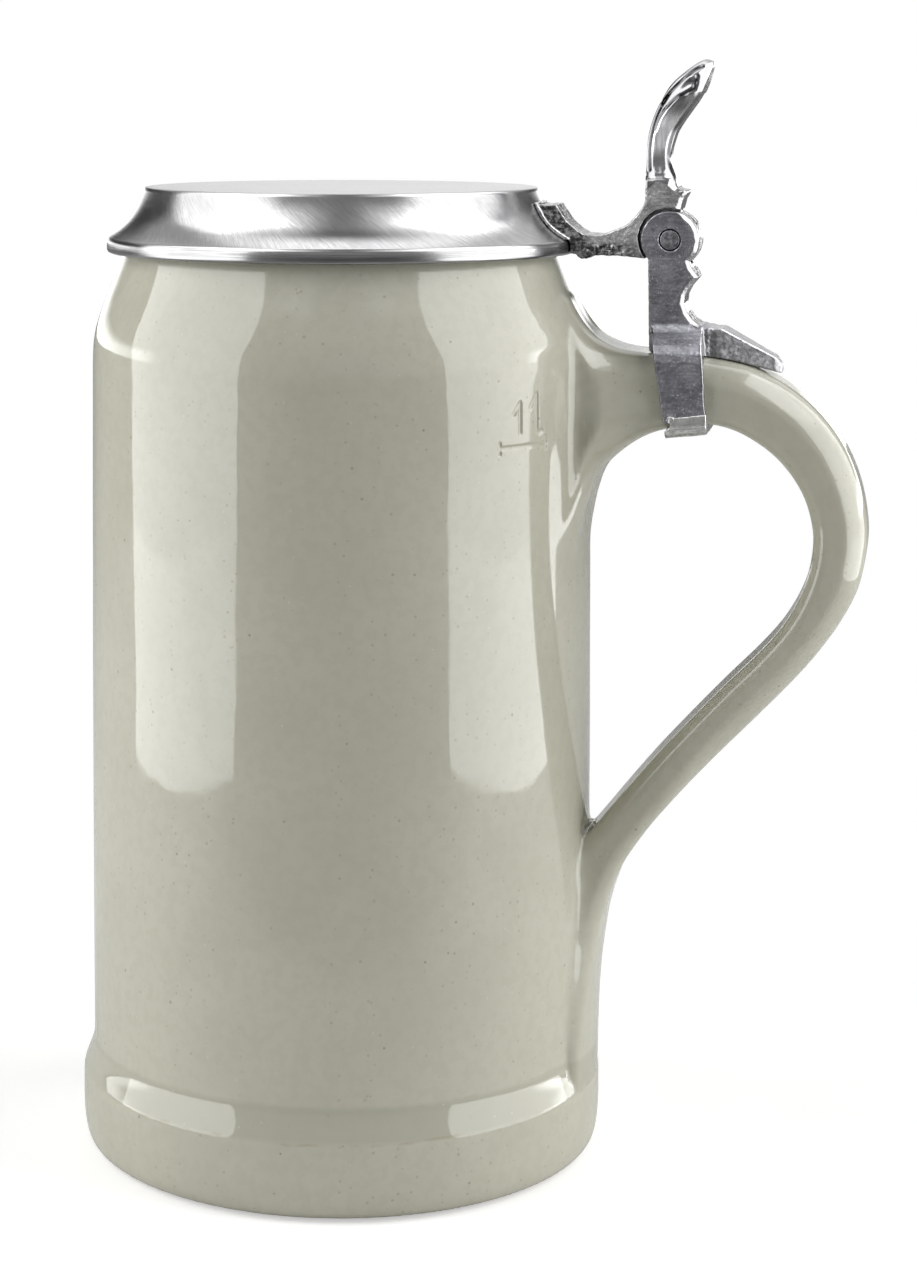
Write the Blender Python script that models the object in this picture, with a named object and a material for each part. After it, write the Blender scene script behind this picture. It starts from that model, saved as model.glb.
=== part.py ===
"""One-litre stoneware beer stein with a hinged tin lid, closed.

The mug and its handle are one fired ceramic piece. The metal mount is cast
and turned tin: a lid soldered to a hinge arm that carries the thumblift, and
a hinge post that straddles the handle and is closed below by a soldered strip.
Everything is drawn in millimetres and scaled to metres when a mesh is made.
Frame: +Z up through the mug's axis, +X towards the handle, origin at the
centre of the flat underside. The hinge pin lies along Y; front is -Y.
"""

import math

import bmesh
import bpy
from mathutils import Vector

# -------------------------------------------------- dimensions shared by pieces
MM = 0.001
GAP = 0.3                  # clearance between pieces that touch
SMOOTH_DEG = 35.0          # edges sharper than this stay sharp
TURNED_SEGMENTS = 64
ROD_SEGMENTS = 48
SIDES = (("front", -1), ("back", 1))

BODY_R = 53.2              # mug's cylinder radius at mid height; the handle wraps round it

PIN_X, PIN_Z = 70.8, 190.95
PIN_CENTRE = (PIN_X, 0.0, PIN_Z)
PIN_R = 1.25
HINGE_HALF = 6.0           # half width of the hinge
PLUG_R = 2.1
PLUG_LENGTH = 1.4
BORE_CUT_HALF = 8.0        # half length of the cutters that bore right through
SIDE_CUT_END = 9.0         # how far out the cutters in each side reach

PRONG_OUT = 12.85          # outer face of each prong, from the middle plane
PRONG_LOW_Z = 153.5

# ------------------------------------------------------------------- materials
MATERIALS = {
    "stoneware_glaze": dict(colour=(0.50, 0.50, 0.42), roughness=0.12, metallic=0.0),
    "tin_lid_brushed": dict(colour=(0.72, 0.72, 0.74), roughness=0.25, metallic=1.0),
    "tin_arm_cast": dict(colour=(0.42, 0.42, 0.44), roughness=0.42, metallic=1.0),
    "tin_post_cast": dict(colour=(0.32, 0.32, 0.35), roughness=0.45, metallic=1.0),
    "tin_solder": dict(colour=(0.55, 0.55, 0.56), roughness=0.35, metallic=1.0),
    "tin_strip_cast": dict(colour=(0.50, 0.50, 0.49), roughness=0.40, metallic=1.0),
    "pin_steel": dict(colour=(0.30, 0.30, 0.32), roughness=0.35, metallic=1.0),
    "tin_plug": dict(colour=(0.30, 0.30, 0.32), roughness=0.40, metallic=1.0),
}


def make_material(name, colour, roughness, metallic):
    material = bpy.data.materials.new(name)
    material.use_nodes = True
    inputs = material.node_tree.nodes["Principled BSDF"].inputs
    inputs["Base Color"].default_value = (*colour, 1.0)
    inputs["Roughness"].default_value = roughness
    inputs["Metallic"].default_value = metallic
    return material


# --------------------------------------------------------------------- objects
def clear_scene():
    for obj in list(bpy.data.objects):
        bpy.data.objects.remove(obj, do_unlink=True)


def add_object(name, bm, origin=(0.0, 0.0, 0.0)):
    """Turn a mesh drawn in millimetres into an object whose origin is `origin`."""
    bmesh.ops.remove_doubles(bm, verts=bm.verts, dist=1e-4)
    bmesh.ops.translate(bm, verts=bm.verts, vec=-Vector(origin))
    bmesh.ops.scale(bm, verts=bm.verts, vec=(MM, MM, MM))
    bmesh.ops.recalc_face_normals(bm, faces=bm.faces)
    mesh = bpy.data.meshes.new(name)
    bm.to_mesh(mesh)
    bm.free()
    obj = bpy.data.objects.new(name, mesh)
    bpy.context.collection.objects.link(obj)
    obj.location = Vector(origin) * MM
    return obj


def add_piece(name, bm, material, origin=(0.0, 0.0, 0.0)):
    """A visible piece of the stein."""
    obj = add_object(name, bm, origin)
    obj.data.shade_smooth()
    obj.data.set_sharp_from_angle(angle=math.radians(SMOOTH_DEG))
    obj.data.materials.append(material)
    return obj


def add_helper(name, bm):
    """A hidden shape that booleans use."""
    obj = add_object(name, bm)
    obj.hide_render = True
    obj.display_type = "WIRE"
    return obj


def add_frame(name, location=(0.0, 0.0, 0.0)):
    """An empty at a place given in millimetres."""
    frame = bpy.data.objects.new(name, None)
    frame.location = Vector(location) * MM
    bpy.context.collection.objects.link(frame)
    return frame


def boolean(obj, helper, operation):
    modifier = obj.modifiers.new(f"{operation.lower()}_{helper.name}", "BOOLEAN")
    modifier.operation = operation
    modifier.solver = "EXACT"
    modifier.object = helper


# --------------------------------------------------------------- solid shapes
def turned(profile, closed=False):
    """Turn a profile of (radius, height) about Z. An open profile ends on the axis."""
    bm = bmesh.new()
    rings = []
    for radius, z in profile:
        if radius < 1e-6:
            rings.append([bm.verts.new((0, 0, z))])
            continue
        angles = [2 * math.pi * k / TURNED_SEGMENTS for k in range(TURNED_SEGMENTS)]
        rings.append([bm.verts.new((radius * math.cos(angle), radius * math.sin(angle), z))
                      for angle in angles])
    following = rings[1:] + (rings[:1] if closed else [])
    for ring, after in zip(rings, following):
        for k in range(TURNED_SEGMENTS):
            n = (k + 1) % TURNED_SEGMENTS
            if len(ring) == 1:
                bm.faces.new((ring[0], after[k], after[n]))
            elif len(after) == 1:
                bm.faces.new((ring[k], after[0], ring[n]))
            else:
                bm.faces.new((ring[k], after[k], after[n], ring[n]))
    return bm


def lofted(sections):
    """Skin a list of closed rings of points and close both ends."""
    bm = bmesh.new()
    rings = [[bm.verts.new(point) for point in section] for section in sections]
    count = len(rings[0])
    for ring, after in zip(rings, rings[1:]):
        for k in range(count):
            n = (k + 1) % count
            bm.faces.new((ring[k], ring[n], after[n], after[k]))
    bm.faces.new(rings[0][::-1])
    bm.faces.new(rings[-1])
    return bm


def prism_y(outline, y0, y1):
    """Carry an outline of (x, z) along Y."""
    return lofted([[(x, y, z) for x, z in outline] for y in (y0, y1)])


def rod(radius, y0, y1):
    """A cylinder on the pin's axis."""
    return prism_y(arc(PIN_X, PIN_Z, radius, 0, 360, ROD_SEGMENTS)[:-1], y0, y1)


# ------------------------------------------------------------ curves and rings
def arc(centre_x, centre_z, radius, start, end, steps):
    """Points on an arc between two angles in degrees."""
    angles = [math.radians(start + (end - start) * k / steps) for k in range(steps + 1)]
    return [(centre_x + radius * math.cos(angle), centre_z + radius * math.sin(angle))
            for angle in angles]


def mirrored(half):
    """Close a half section of (y, z) with its mirror image in the middle plane."""
    return half + [(-y, z) for y, z in half[::-1]]


def catmull_rom(before, start, end, after, t):
    return 0.5 * (2 * start + (end - before) * t
                  + (2 * before - 5 * start + 4 * end - after) * t * t
                  + (3 * start - before - 3 * end + after) * t ** 3)


def smooth_path(stations, per_span):
    """Catmull-Rom curve through stations, which may hold any number of values."""
    path = []
    last = len(stations) - 1
    for i in range(last):
        around = (stations[max(i - 1, 0)], stations[i],
                  stations[i + 1], stations[min(i + 2, last)])
        for k in range(per_span):
            path.append(tuple(catmull_rom(*values, k / per_span) for values in zip(*around)))
    path.append(tuple(stations[last]))
    return path


def rounded_section(half_width, half_thick, corner, per_corner=3):
    """Rounded rectangle as (across, through) pairs, anticlockwise."""
    corner = min(corner, half_width * 0.98, half_thick * 0.98)
    points = []
    for side, face, start in ((1, 1, 0), (-1, 1, 90), (-1, -1, 180), (1, -1, 270)):
        points += arc(side * (half_width - corner), face * (half_thick - corner), corner,
                      start, start + 90, per_corner)
    return points


# ------------------------------------------------------------------------- mug
FOOT_R = 55.0              # widest radius, the foot band
FLAT_R = 50.2              # radius of the flat underside
WALL = 5.6                 # wall thickness
INNER_R = BODY_R - WALL
INNER_LOW_R = INNER_R - 0.5  # inner radius just above the floor's rounding
FLOOR_Z = 9.0              # top of the floor inside
FLOOR_ROUND = 8.0          # rounding between floor and wall
RIM_Z = 192.6              # top of the mug's rim
RIM_ROUND = 2.6            # radius of the rounded rim
RIM_R = 43.6               # radius of the circle through the rim's centre

# Outer wall from the underside up to the rim: (radius, z).
MUG_OUTSIDE = [
    (0.0, 0.0), (FLAT_R, 0.0),
    (52.3, 0.4), (53.6, 1.4), (54.3, 3.0), (54.8, 5.6), (FOOT_R, 9.0), (FOOT_R, 13.0),
    (54.7, 15.6), (53.9, 18.6), (52.9, 21.9),
    (52.8, 26.0), (53.0, 60.0), (BODY_R, 110.0), (BODY_R, 165.0),
    (52.9, 169.5), (51.9, 173.5), (50.5, 177.5), (49.0, 181.3), (47.4, 185.4),
]
# Inner wall from the rim down to the floor's rounding: (radius, z).
MUG_INSIDE = [
    (41.6, 186.0), (43.6, 181.0), (45.8, 175.5), (47.2, 170.0),
    (INNER_R, 164.0), (INNER_R, 110.0), (INNER_R - 0.3, 60.0), (INNER_LOW_R, FLOOR_Z + 9.0),
]

# Handle stations, from its top root round to its foot: x and z of a point on the
# outer edge, x and z of the matching point on the inner edge, both in the middle
# plane, half width across, corner radius, and how much the section wraps round
# the body.
HANDLE = [
    (49.8, 178.0, 49.8, 131.0, 17.0, 9.0, 0.0),
    (51.5, 175.4, 51.8, 133.4, 15.6, 9.0, 0.0),
    (53.6, 172.8, 54.0, 137.6, 14.2, 8.0, 0.0),
    (56.4, 170.3, 56.9, 143.0, 12.8, 6.5, 0.0),
    (60.5, 168.5, 61.2, 147.3, 11.6, 5.0, 0.0),
    (66.0, 167.7, 66.5, 150.7, 11.1, 4.0, 0.0),
    (72.3, 167.4, 72.7, 152.5, 11.0, 3.5, 0.0),
    (80.7, 166.6, 79.2, 153.1, 11.0, 3.4, 0.0),
    (88.8, 164.5, 84.1, 152.0, 10.9, 3.4, 0.0),
    (95.8, 160.7, 88.4, 149.8, 10.8, 3.4, 0.0),
    (101.8, 155.5, 92.5, 146.7, 10.7, 3.4, 0.0),
    (106.5, 149.1, 96.0, 142.6, 10.6, 3.4, 0.0),
    (109.7, 141.6, 98.6, 137.8, 10.5, 3.4, 0.0),
    (111.2, 133.5, 100.0, 132.4, 10.4, 3.3, 0.0),
    (111.0, 127.4, 100.1, 128.2, 10.3, 3.2, 0.0),
    (109.3, 119.8, 99.2, 123.2, 10.2, 3.1, 0.0),
    (105.7, 112.7, 97.1, 117.5, 10.1, 3.0, 0.0),
    (100.9, 105.9, 93.6, 111.6, 9.9, 3.0, 0.0),
    (95.5, 99.7, 88.7, 105.9, 9.8, 3.0, 0.0),
    (88.5, 92.4, 81.8, 99.0, 9.6, 3.0, 0.0),
    (81.4, 85.2, 74.8, 91.7, 9.5, 3.0, 0.0),
    (74.4, 78.0, 67.7, 84.0, 9.4, 3.0, 0.0),
    (68.9, 71.8, 62.1, 77.4, 9.4, 3.0, 0.1),
    (65.1, 66.9, 57.9, 72.2, 9.5, 3.0, 0.2),
    (61.5, 61.4, 53.6, 66.6, 9.8, 3.1, 0.4),
    (59.2, 56.0, 50.8, 60.0, 10.2, 3.3, 0.6),
    (57.6, 50.4, 49.3, 53.0, 10.9, 3.4, 0.9),
    (56.5, 44.0, 49.0, 45.4, 11.8, 3.4, 1.0),
    (55.6, 36.5, 49.0, 37.2, 13.4, 3.0, 1.0),
    (55.1, 28.0, 49.2, 28.2, 15.0, 2.6, 1.0),
    (54.8, 17.0, 49.4, 17.0, 16.0, 2.2, 1.0),
]
MOUNT_STATIONS = HANDLE[4:13]  # the stretch of handle that passes through the mount


def mug_profile():
    """Outer wall from the underside up, over the rim and down to the floor."""
    rim = arc(RIM_R, RIM_Z - RIM_ROUND, RIM_ROUND, 0, 180, 6)
    floor_round = arc(INNER_LOW_R - FLOOR_ROUND, FLOOR_Z + FLOOR_ROUND, FLOOR_ROUND, 0, -90, 4)
    return MUG_OUTSIDE + rim + MUG_INSIDE + floor_round[1:] + [(0.0, FLOOR_Z)]


def handle_sections(stations, per_span, grow=0.0):
    """Rings of points across the handle, each square to the middle plane."""
    rings = []
    for station in smooth_path(stations, per_span):
        out_x, out_z, in_x, in_z, half_width, corner, wrap = station
        half_thick = 0.5 * math.hypot(out_x - in_x, out_z - in_z)
        normal_x = (out_x - in_x) / (2 * half_thick)
        normal_z = (out_z - in_z) / (2 * half_thick)
        x, z = 0.5 * (out_x + in_x), 0.5 * (out_z + in_z)
        ring = []
        for across, through in rounded_section(half_width + grow, half_thick + grow,
                                               corner + grow):
            bend = wrap * (math.sqrt(BODY_R ** 2 - across ** 2) - BODY_R)
            ring.append((x + normal_x * through + bend, across, z + normal_z * through))
        rings.append(ring)
    return rings


def build_mug(material):
    """Turned body joined to the swept handle."""
    mug = add_piece("stoneware_mug", turned(mug_profile()), material)
    handle = add_helper("handle_loop", lofted(handle_sections(HANDLE, per_span=2)))
    boolean(mug, handle, "UNION")


# ------------------------------------------------------------------------- lid
LID_TOP_Z = 201.4
LID_TOP_R = 42.1
LID_BAND_R = 50.2
LID_BAND_TOP_Z = 190.4
LID_BAND_LOW_Z = 187.6
LID_BAND_THICK = 2.0       # thickness of the lid's edge band
LID_PLATE = 1.4            # thickness of the lid's sheet
LID_EDGE = 0.4             # bevel on the band's edges
LID_INNER_EDGE = 0.3       # width of the bevel inside the band's foot
FLARE_GROW_R, FLARE_GROW_Z = 0.75, 0.66  # share of a growth that goes outward and up

# Outside of the lid from the top's edge down to the band: (radius, z).
LID_FLARE = [
    (LID_TOP_R, LID_TOP_Z), (42.75, 199.5), (43.6, 197.4), (44.8, 195.2),
    (46.5, 193.1), (48.5, 191.5), (LID_BAND_R - LID_EDGE, LID_BAND_TOP_Z),
]
# Inside of the lid from the band up to the plate: (radius, z).
LID_INSIDE = [
    (47.7, 189.9), (46.9, 191.0), (45.6, 192.1), (43.8, 194.4), (42.6, 196.9),
    (41.4, LID_TOP_Z - LID_PLATE), (0.0, LID_TOP_Z - LID_PLATE),
]


def lid_flare(grow):
    return [(radius + grow * FLARE_GROW_R, z + grow * FLARE_GROW_Z) for radius, z in LID_FLARE]


def lid_outside(grow=0.0):
    """The lid's outer surface, from the centre of the top to the band's foot."""
    band = [(LID_BAND_R + grow, LID_BAND_TOP_Z - LID_EDGE),
            (LID_BAND_R + grow, LID_BAND_LOW_Z + LID_EDGE)]
    return [(0.0, LID_TOP_Z + grow)] + lid_flare(grow) + band


def build_lid(material):
    """One turned shell."""
    band_inner_r = LID_BAND_R - LID_BAND_THICK
    band_foot = [(LID_BAND_R - LID_EDGE, LID_BAND_LOW_Z),
                 (band_inner_r + LID_INNER_EDGE, LID_BAND_LOW_Z),
                 (band_inner_r, LID_BAND_LOW_Z + LID_EDGE)]
    profile = lid_outside() + band_foot + LID_INSIDE
    return add_piece("lid_shell", turned(profile), material, PIN_CENTRE)


# ----------------------------------------------------------------- solder bead
BEAD_GROW = 0.85           # the bead's outer surface, out from the lid
WINDOW_X0, WINDOW_X1 = 30.0, 56.0
WINDOW_HALF = 7.0
WINDOW_LOW_Z, WINDOW_TOP_Z = 190.6, 198.9


def build_bead(material):
    """Solder that fills the joint under the arm's tab: a turned skin cut by a box."""
    skin = lid_flare(BEAD_GROW) + lid_flare(GAP)[::-1]
    bead = add_piece("tab_solder_bead", turned(skin, closed=True), material, PIN_CENTRE)
    corners = [(WINDOW_X0, -WINDOW_HALF), (WINDOW_X1, -WINDOW_HALF),
               (WINDOW_X1, WINDOW_HALF), (WINDOW_X0, WINDOW_HALF)]
    window = lofted([[(x, y, z) for x, y in corners] for z in (WINDOW_LOW_Z, WINDOW_TOP_Z)])
    boolean(bead, add_helper("bead_window", window), "INTERSECT")
    return bead


# ------------------------------------------------------------------- hinge arm
PIN_RUNNING = 0.08         # radial clearance of the moving knuckle on the pin
KNUCKLE_HALF = 2.2         # half width of the arm's middle knuckle
KNUCKLE_R = 6.0
POCKET_R = 6.5             # hollow in the arm round each cheek
LID_CLEAR_BAND = 0.7       # the lid clearance's skirt, out from the band
LID_CLEAR_DROP = 3.0       # and how far it reaches below the band

# Top of the arm from its tab over the thumblift's base to the knuckle: (x, z).
ARM_TOP = [
    (42.0, 199.6), (44.6, 198.3), (46.8, 198.3), (48.3, 196.3), (49.8, 194.4),
    (51.4, 192.9), (53.2, 192.0), (55.6, 191.8), (57.6, 192.2), (60.2, 193.2),
    (62.4, 194.5), (64.1, 196.3), (65.4, 198.3), (65.9, 200.4), (66.0, 202.6),
    (71.0, 202.6), (72.4, 201.6), (74.4, 201.1), (74.2, 200.2), (73.7, 199.1), (73.1, 197.4),
]
# Underside of the arm from the knuckle back to the tab: (x, z).
ARM_LOW = [
    (65.5, 187.0), (61.4, 187.5), (54.9, 187.6), (53.4, 186.9), (52.0, 186.9),
    (51.2, 187.7), (48.0, 188.0), (44.0, 192.0),
]
# Thumblift stations, going up: centre x, centre z, half thickness, half width.
BLADE = [
    (69.2, 200.0, 3.2, 5.9), (68.8, 202.8, 3.2, 5.9), (68.6, 205.6, 2.7, 5.2),
    (68.5, 209.0, 2.5, 4.9), (69.2, 213.2, 2.6, 5.2), (70.4, 216.8, 3.0, 5.9),
    (71.9, 219.2, 3.2, 6.6), (73.6, 221.6, 3.1, 7.1), (75.4, 224.0, 2.7, 7.2),
    (77.3, 226.4, 1.8, 5.9), (78.9, 228.2, 0.6, 2.6),
]
BLADE_ROUNDING = 0.8       # corner radius as a share of the smaller half size


def blade_sections():
    """Rings of points across the thumblift, square to its path."""
    path = smooth_path(BLADE, per_span=2)
    rings = []
    for i, (x, z, half_thick, half_width) in enumerate(path):
        x0, z0 = path[max(i - 1, 0)][:2]
        x1, z1 = path[min(i + 1, len(path) - 1)][:2]
        length = math.hypot(x1 - x0, z1 - z0)
        normal_x, normal_z = -(z1 - z0) / length, (x1 - x0) / length
        corner = min(half_width, half_thick) * BLADE_ROUNDING
        rings.append([(x + normal_x * through, across, z + normal_z * through)
                      for across, through in rounded_section(half_width, half_thick, corner)])
    return rings


def lid_clearance():
    """The lid's outside, grown to leave a gap round the solder bead."""
    low_z = LID_BAND_LOW_Z - LID_CLEAR_DROP
    skirt = [(LID_BAND_R + LID_CLEAR_BAND, low_z), (0.0, low_z)]
    return add_helper("lid_clearance", turned(lid_outside(BEAD_GROW + GAP) + skirt))


def build_arm(material):
    """Hinge arm with its thumblift."""
    knuckle = arc(PIN_X, PIN_Z, KNUCKLE_R, 68, -138, 20)
    outline = ARM_TOP + knuckle + ARM_LOW
    arm = add_piece("lid_arm", prism_y(outline, -HINGE_HALF, HINGE_HALF), material, PIN_CENTRE)
    boolean(arm, add_helper("thumblift_blade", lofted(blade_sections())), "UNION")
    for side, sign in SIDES:
        pocket = rod(POCKET_R, sign * KNUCKLE_HALF, sign * SIDE_CUT_END)
        boolean(arm, add_helper(f"cheek_pocket_{side}", pocket), "DIFFERENCE")
    bore = rod(PIN_R + PIN_RUNNING, -BORE_CUT_HALF, BORE_CUT_HALF)
    boolean(arm, add_helper("knuckle_bore", bore), "DIFFERENCE")
    boolean(arm, lid_clearance(), "DIFFERENCE")
    return arm


# ------------------------------------------------------------------ hinge post
CHEEK_R = 6.1
SLOT_HALF = 2.5            # half width of the post's slot
SLOT_R = 6.4               # hollow in the post round the knuckle
POST_BORE_CLEAR = 0.05     # radial clearance of the pin in the post
SEAT_CLEAR = 0.25          # radial clearance of each plug in its seat
SEAT_EXTRA_DEPTH = 0.3     # depth of the seat beyond the plug's inner end
SADDLE_LEAN_Z = 172.0      # height at which the saddle's ends stand at their x

# Post below the cheek's disc, down the +X side and up the -X side: (x, z).
POST_SIDES = [
    (75.2, 185.2), (76.7, 183.2), (75.7, 182.0), (74.7, 180.8), (74.0, 179.3),
    (73.8, 177.8), (74.5, 176.0), (75.6, 174.6), (77.2, 173.4), (79.2, 172.8),
    (79.2, 165.0), (66.4, 165.0), (66.3, 186.6),
]
# Half of the saddle and prongs seen along X, from a prong's foot up: (y, z).
SADDLE_HALF = [
    (PRONG_OUT, PRONG_LOW_Z), (PRONG_OUT, 166.2), (12.4, 168.0), (11.2, 169.6),
    (9.2, 170.9), (7.0, 172.0), (HINGE_HALF, 173.2),
]
# The saddle's two ends: x, and change of x for each millimetre up.
SADDLE_ENDS = [(67.35, -0.15), (77.7, -0.075)]
# Sections of the tongue along the handle: x, half width, low z, top z.
TONGUE = [
    (76.0, 5.6, 160.0, 172.9), (81.4, 5.4, 160.0, 172.9),
    (92.3, 3.2, 157.0, 166.9), (93.8, 2.6, 157.0, 165.4),
]


def saddle_sections():
    return [[(x + lean * (z - SADDLE_LEAN_Z), y, z) for y, z in mirrored(SADDLE_HALF)]
            for x, lean in SADDLE_ENDS]


def tongue_sections():
    return [[(x, -half, low), (x, half, low), (x, half, top), (x, -half, top)]
            for x, half, low, top in TONGUE]


def build_post(material, handle_clear):
    """Cheeks, post, saddle, prongs and the tongue along the handle."""
    outline = arc(PIN_X, PIN_Z, CHEEK_R, 222, -48, 30) + POST_SIDES
    post = add_piece("hinge_post", prism_y(outline, -HINGE_HALF, HINGE_HALF), material)
    boolean(post, add_helper("saddle_and_prongs", lofted(saddle_sections())), "UNION")
    boolean(post, add_helper("handle_tongue", lofted(tongue_sections())), "UNION")
    boolean(post, handle_clear, "DIFFERENCE")
    slot = rod(SLOT_R, -SLOT_HALF, SLOT_HALF)
    boolean(post, add_helper("knuckle_slot", slot), "DIFFERENCE")
    bore = rod(PIN_R + POST_BORE_CLEAR, -BORE_CUT_HALF, BORE_CUT_HALF)
    boolean(post, add_helper("post_bore", bore), "DIFFERENCE")
    seat_start = HINGE_HALF - PLUG_LENGTH - SEAT_EXTRA_DEPTH
    for side, sign in SIDES:
        seat = rod(PLUG_R + SEAT_CLEAR, sign * seat_start, sign * SIDE_CUT_END)
        boolean(post, add_helper(f"plug_seat_{side}", seat), "DIFFERENCE")


# --------------------------------------------------------------- pin and plugs
PIN_END_GAP = 0.35         # between the pin's end and each plug


def build_pin(material):
    pin_half = HINGE_HALF - PLUG_LENGTH - PIN_END_GAP
    add_piece("hinge_pin", rod(PIN_R, -pin_half, pin_half), material, PIN_CENTRE)


def build_plugs(material):
    """The two plugs that close the pin's hole."""
    for side, sign in SIDES:
        plug = rod(PLUG_R, sign * (HINGE_HALF - PLUG_LENGTH), sign * HINGE_HALF)
        add_piece(f"pin_plug_{side}", plug, material, PIN_CENTRE)


# --------------------------------------------------------------- closing strip
STRIP_OUT = 14.3           # outer face, from the middle plane
STRIP_X0, STRIP_X1 = 70.4, 79.1
STRIP_TOP_Z = 155.4
STRIP_LOW_Z = 151.0
STRIP_ROUND = 2.3          # rounding of the lower outer edges
STRIP_FLOOR_DROP = 0.85    # channel's floor below the prongs' feet
STRIP_RISE = 0.11          # the strip follows the handle's slope
STRIP_LEVEL_X = 75.0       # where the sloping strip is at its drawn height


def build_strip(material, handle_clear):
    """A shallow channel round the prongs' feet and under the handle."""
    inside = PRONG_OUT + GAP
    half = [(inside, PRONG_LOW_Z - STRIP_FLOOR_DROP), (inside, STRIP_TOP_Z),
            (STRIP_OUT, STRIP_TOP_Z)]
    half += arc(STRIP_OUT - STRIP_ROUND, STRIP_LOW_Z + STRIP_ROUND, STRIP_ROUND, 0, -90, 4)
    sections = [[(x, y, z + STRIP_RISE * (x - STRIP_LEVEL_X)) for y, z in mirrored(half)]
                for x in (STRIP_X0, STRIP_X1)]
    bridge = add_piece("clamp_bridge", lofted(sections), material)
    boolean(bridge, handle_clear, "DIFFERENCE")


# -------------------------------------------------------------------- assembly
def parent_all(lid_pieces):
    """Hang the lid's pieces on the hinge axis and everything else on the mug's frame."""
    mug_frame = add_frame("mug_frame")
    lid_hinge = add_frame("lid_hinge_axis", PIN_CENTRE)
    lid_hinge.parent = mug_frame
    for obj in bpy.data.objects:
        if obj.type == "MESH":
            obj.parent = mug_frame
    for obj in lid_pieces:
        obj.parent = lid_hinge
        obj.location = (0, 0, 0)


def build():
    clear_scene()
    materials = {name: make_material(name, **look) for name, look in MATERIALS.items()}
    build_mug(materials["stoneware_glaze"])
    lid_pieces = [
        build_lid(materials["tin_lid_brushed"]),
        build_arm(materials["tin_arm_cast"]),
        build_bead(materials["tin_solder"]),
    ]
    handle_clear = add_helper(
        "handle_clearance", lofted(handle_sections(MOUNT_STATIONS, per_span=4, grow=GAP)))
    build_post(materials["tin_post_cast"], handle_clear)
    build_pin(materials["pin_steel"])
    build_plugs(materials["tin_plug"])
    build_strip(materials["tin_strip_cast"], handle_clear)
    parent_all(lid_pieces)


build()
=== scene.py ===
"""Finished look of the one-litre stoneware stein: every visible piece is built
here in fine mesh from the same outlines as the CAD, rides on its CAD body and
has its own procedural material. Lengths are millimetres until a mesh is made.
"""

import math

import bmesh
import bpy
import numpy as np
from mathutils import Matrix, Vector


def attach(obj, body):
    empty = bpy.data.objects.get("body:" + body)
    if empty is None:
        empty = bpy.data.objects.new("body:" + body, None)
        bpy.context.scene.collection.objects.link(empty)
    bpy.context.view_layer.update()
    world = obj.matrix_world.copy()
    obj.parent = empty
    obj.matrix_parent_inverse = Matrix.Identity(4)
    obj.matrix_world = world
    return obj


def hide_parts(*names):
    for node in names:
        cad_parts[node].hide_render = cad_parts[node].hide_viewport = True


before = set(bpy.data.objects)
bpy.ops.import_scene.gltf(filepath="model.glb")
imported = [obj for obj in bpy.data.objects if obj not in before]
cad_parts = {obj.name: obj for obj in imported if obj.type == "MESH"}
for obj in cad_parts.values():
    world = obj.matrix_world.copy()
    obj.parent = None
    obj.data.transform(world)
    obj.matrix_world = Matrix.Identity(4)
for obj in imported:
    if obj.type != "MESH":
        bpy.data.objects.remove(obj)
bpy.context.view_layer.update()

MM = 0.001
LID_TOP_Z, LID_BAND_R = 201.4, 50.2
PIN_X, PIN_Z = 70.8, 190.95
HINGE_HALF = 6.0
WALL_R = 53.2


# --------------------------------------------------------------- small maths
def ramp(v, a, b):
    t = np.clip((v - a) / (b - a), 0.0, 1.0)
    return t * t * (3.0 - 2.0 * t)


def smin(a, b, k):
    h = np.maximum(k - np.abs(a - b), 0.0) / k
    return np.minimum(a, b) - h * h * k * 0.25


def blend(a, b, k):
    """Smooth minimum whose fillet runs into both faces with no jump in curvature."""
    h = np.maximum(k - np.abs(a - b), 0.0) / k
    return np.minimum(a, b) - h * h * h * k / 6.0


def smax(a, b, k):
    return -smin(-a, -b, k)


def box2(a, b, r):
    """Corner of radius r between two half spaces a < 0 and b < 0."""
    qa, qb = a + r, b + r
    return (np.sqrt(np.maximum(qa, 0.0) ** 2 + np.maximum(qb, 0.0) ** 2)
            + np.minimum(np.maximum(qa, qb), 0.0) - r)


def smooth_path(stations, per_span):
    out = []
    last = len(stations) - 1
    for i in range(last):
        p0, p1 = stations[max(i - 1, 0)], stations[i]
        p2, p3 = stations[i + 1], stations[min(i + 2, last)]
        for k in range(per_span):
            t = k / per_span
            out.append(tuple(
                0.5 * (2 * b + (c - a) * t + (2 * a - 5 * b + 4 * c - d) * t * t
                       + (3 * b - a - 3 * c + d) * t ** 3)
                for a, b, c, d in zip(p0, p1, p2, p3)))
    out.append(tuple(stations[last]))
    return out


def arc(cx, cz, r, a0, a1, steps):
    return [(cx + r * math.cos(math.radians(a0 + (a1 - a0) * k / steps)),
             cz + r * math.sin(math.radians(a0 + (a1 - a0) * k / steps)))
            for k in range(steps + 1)]


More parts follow.
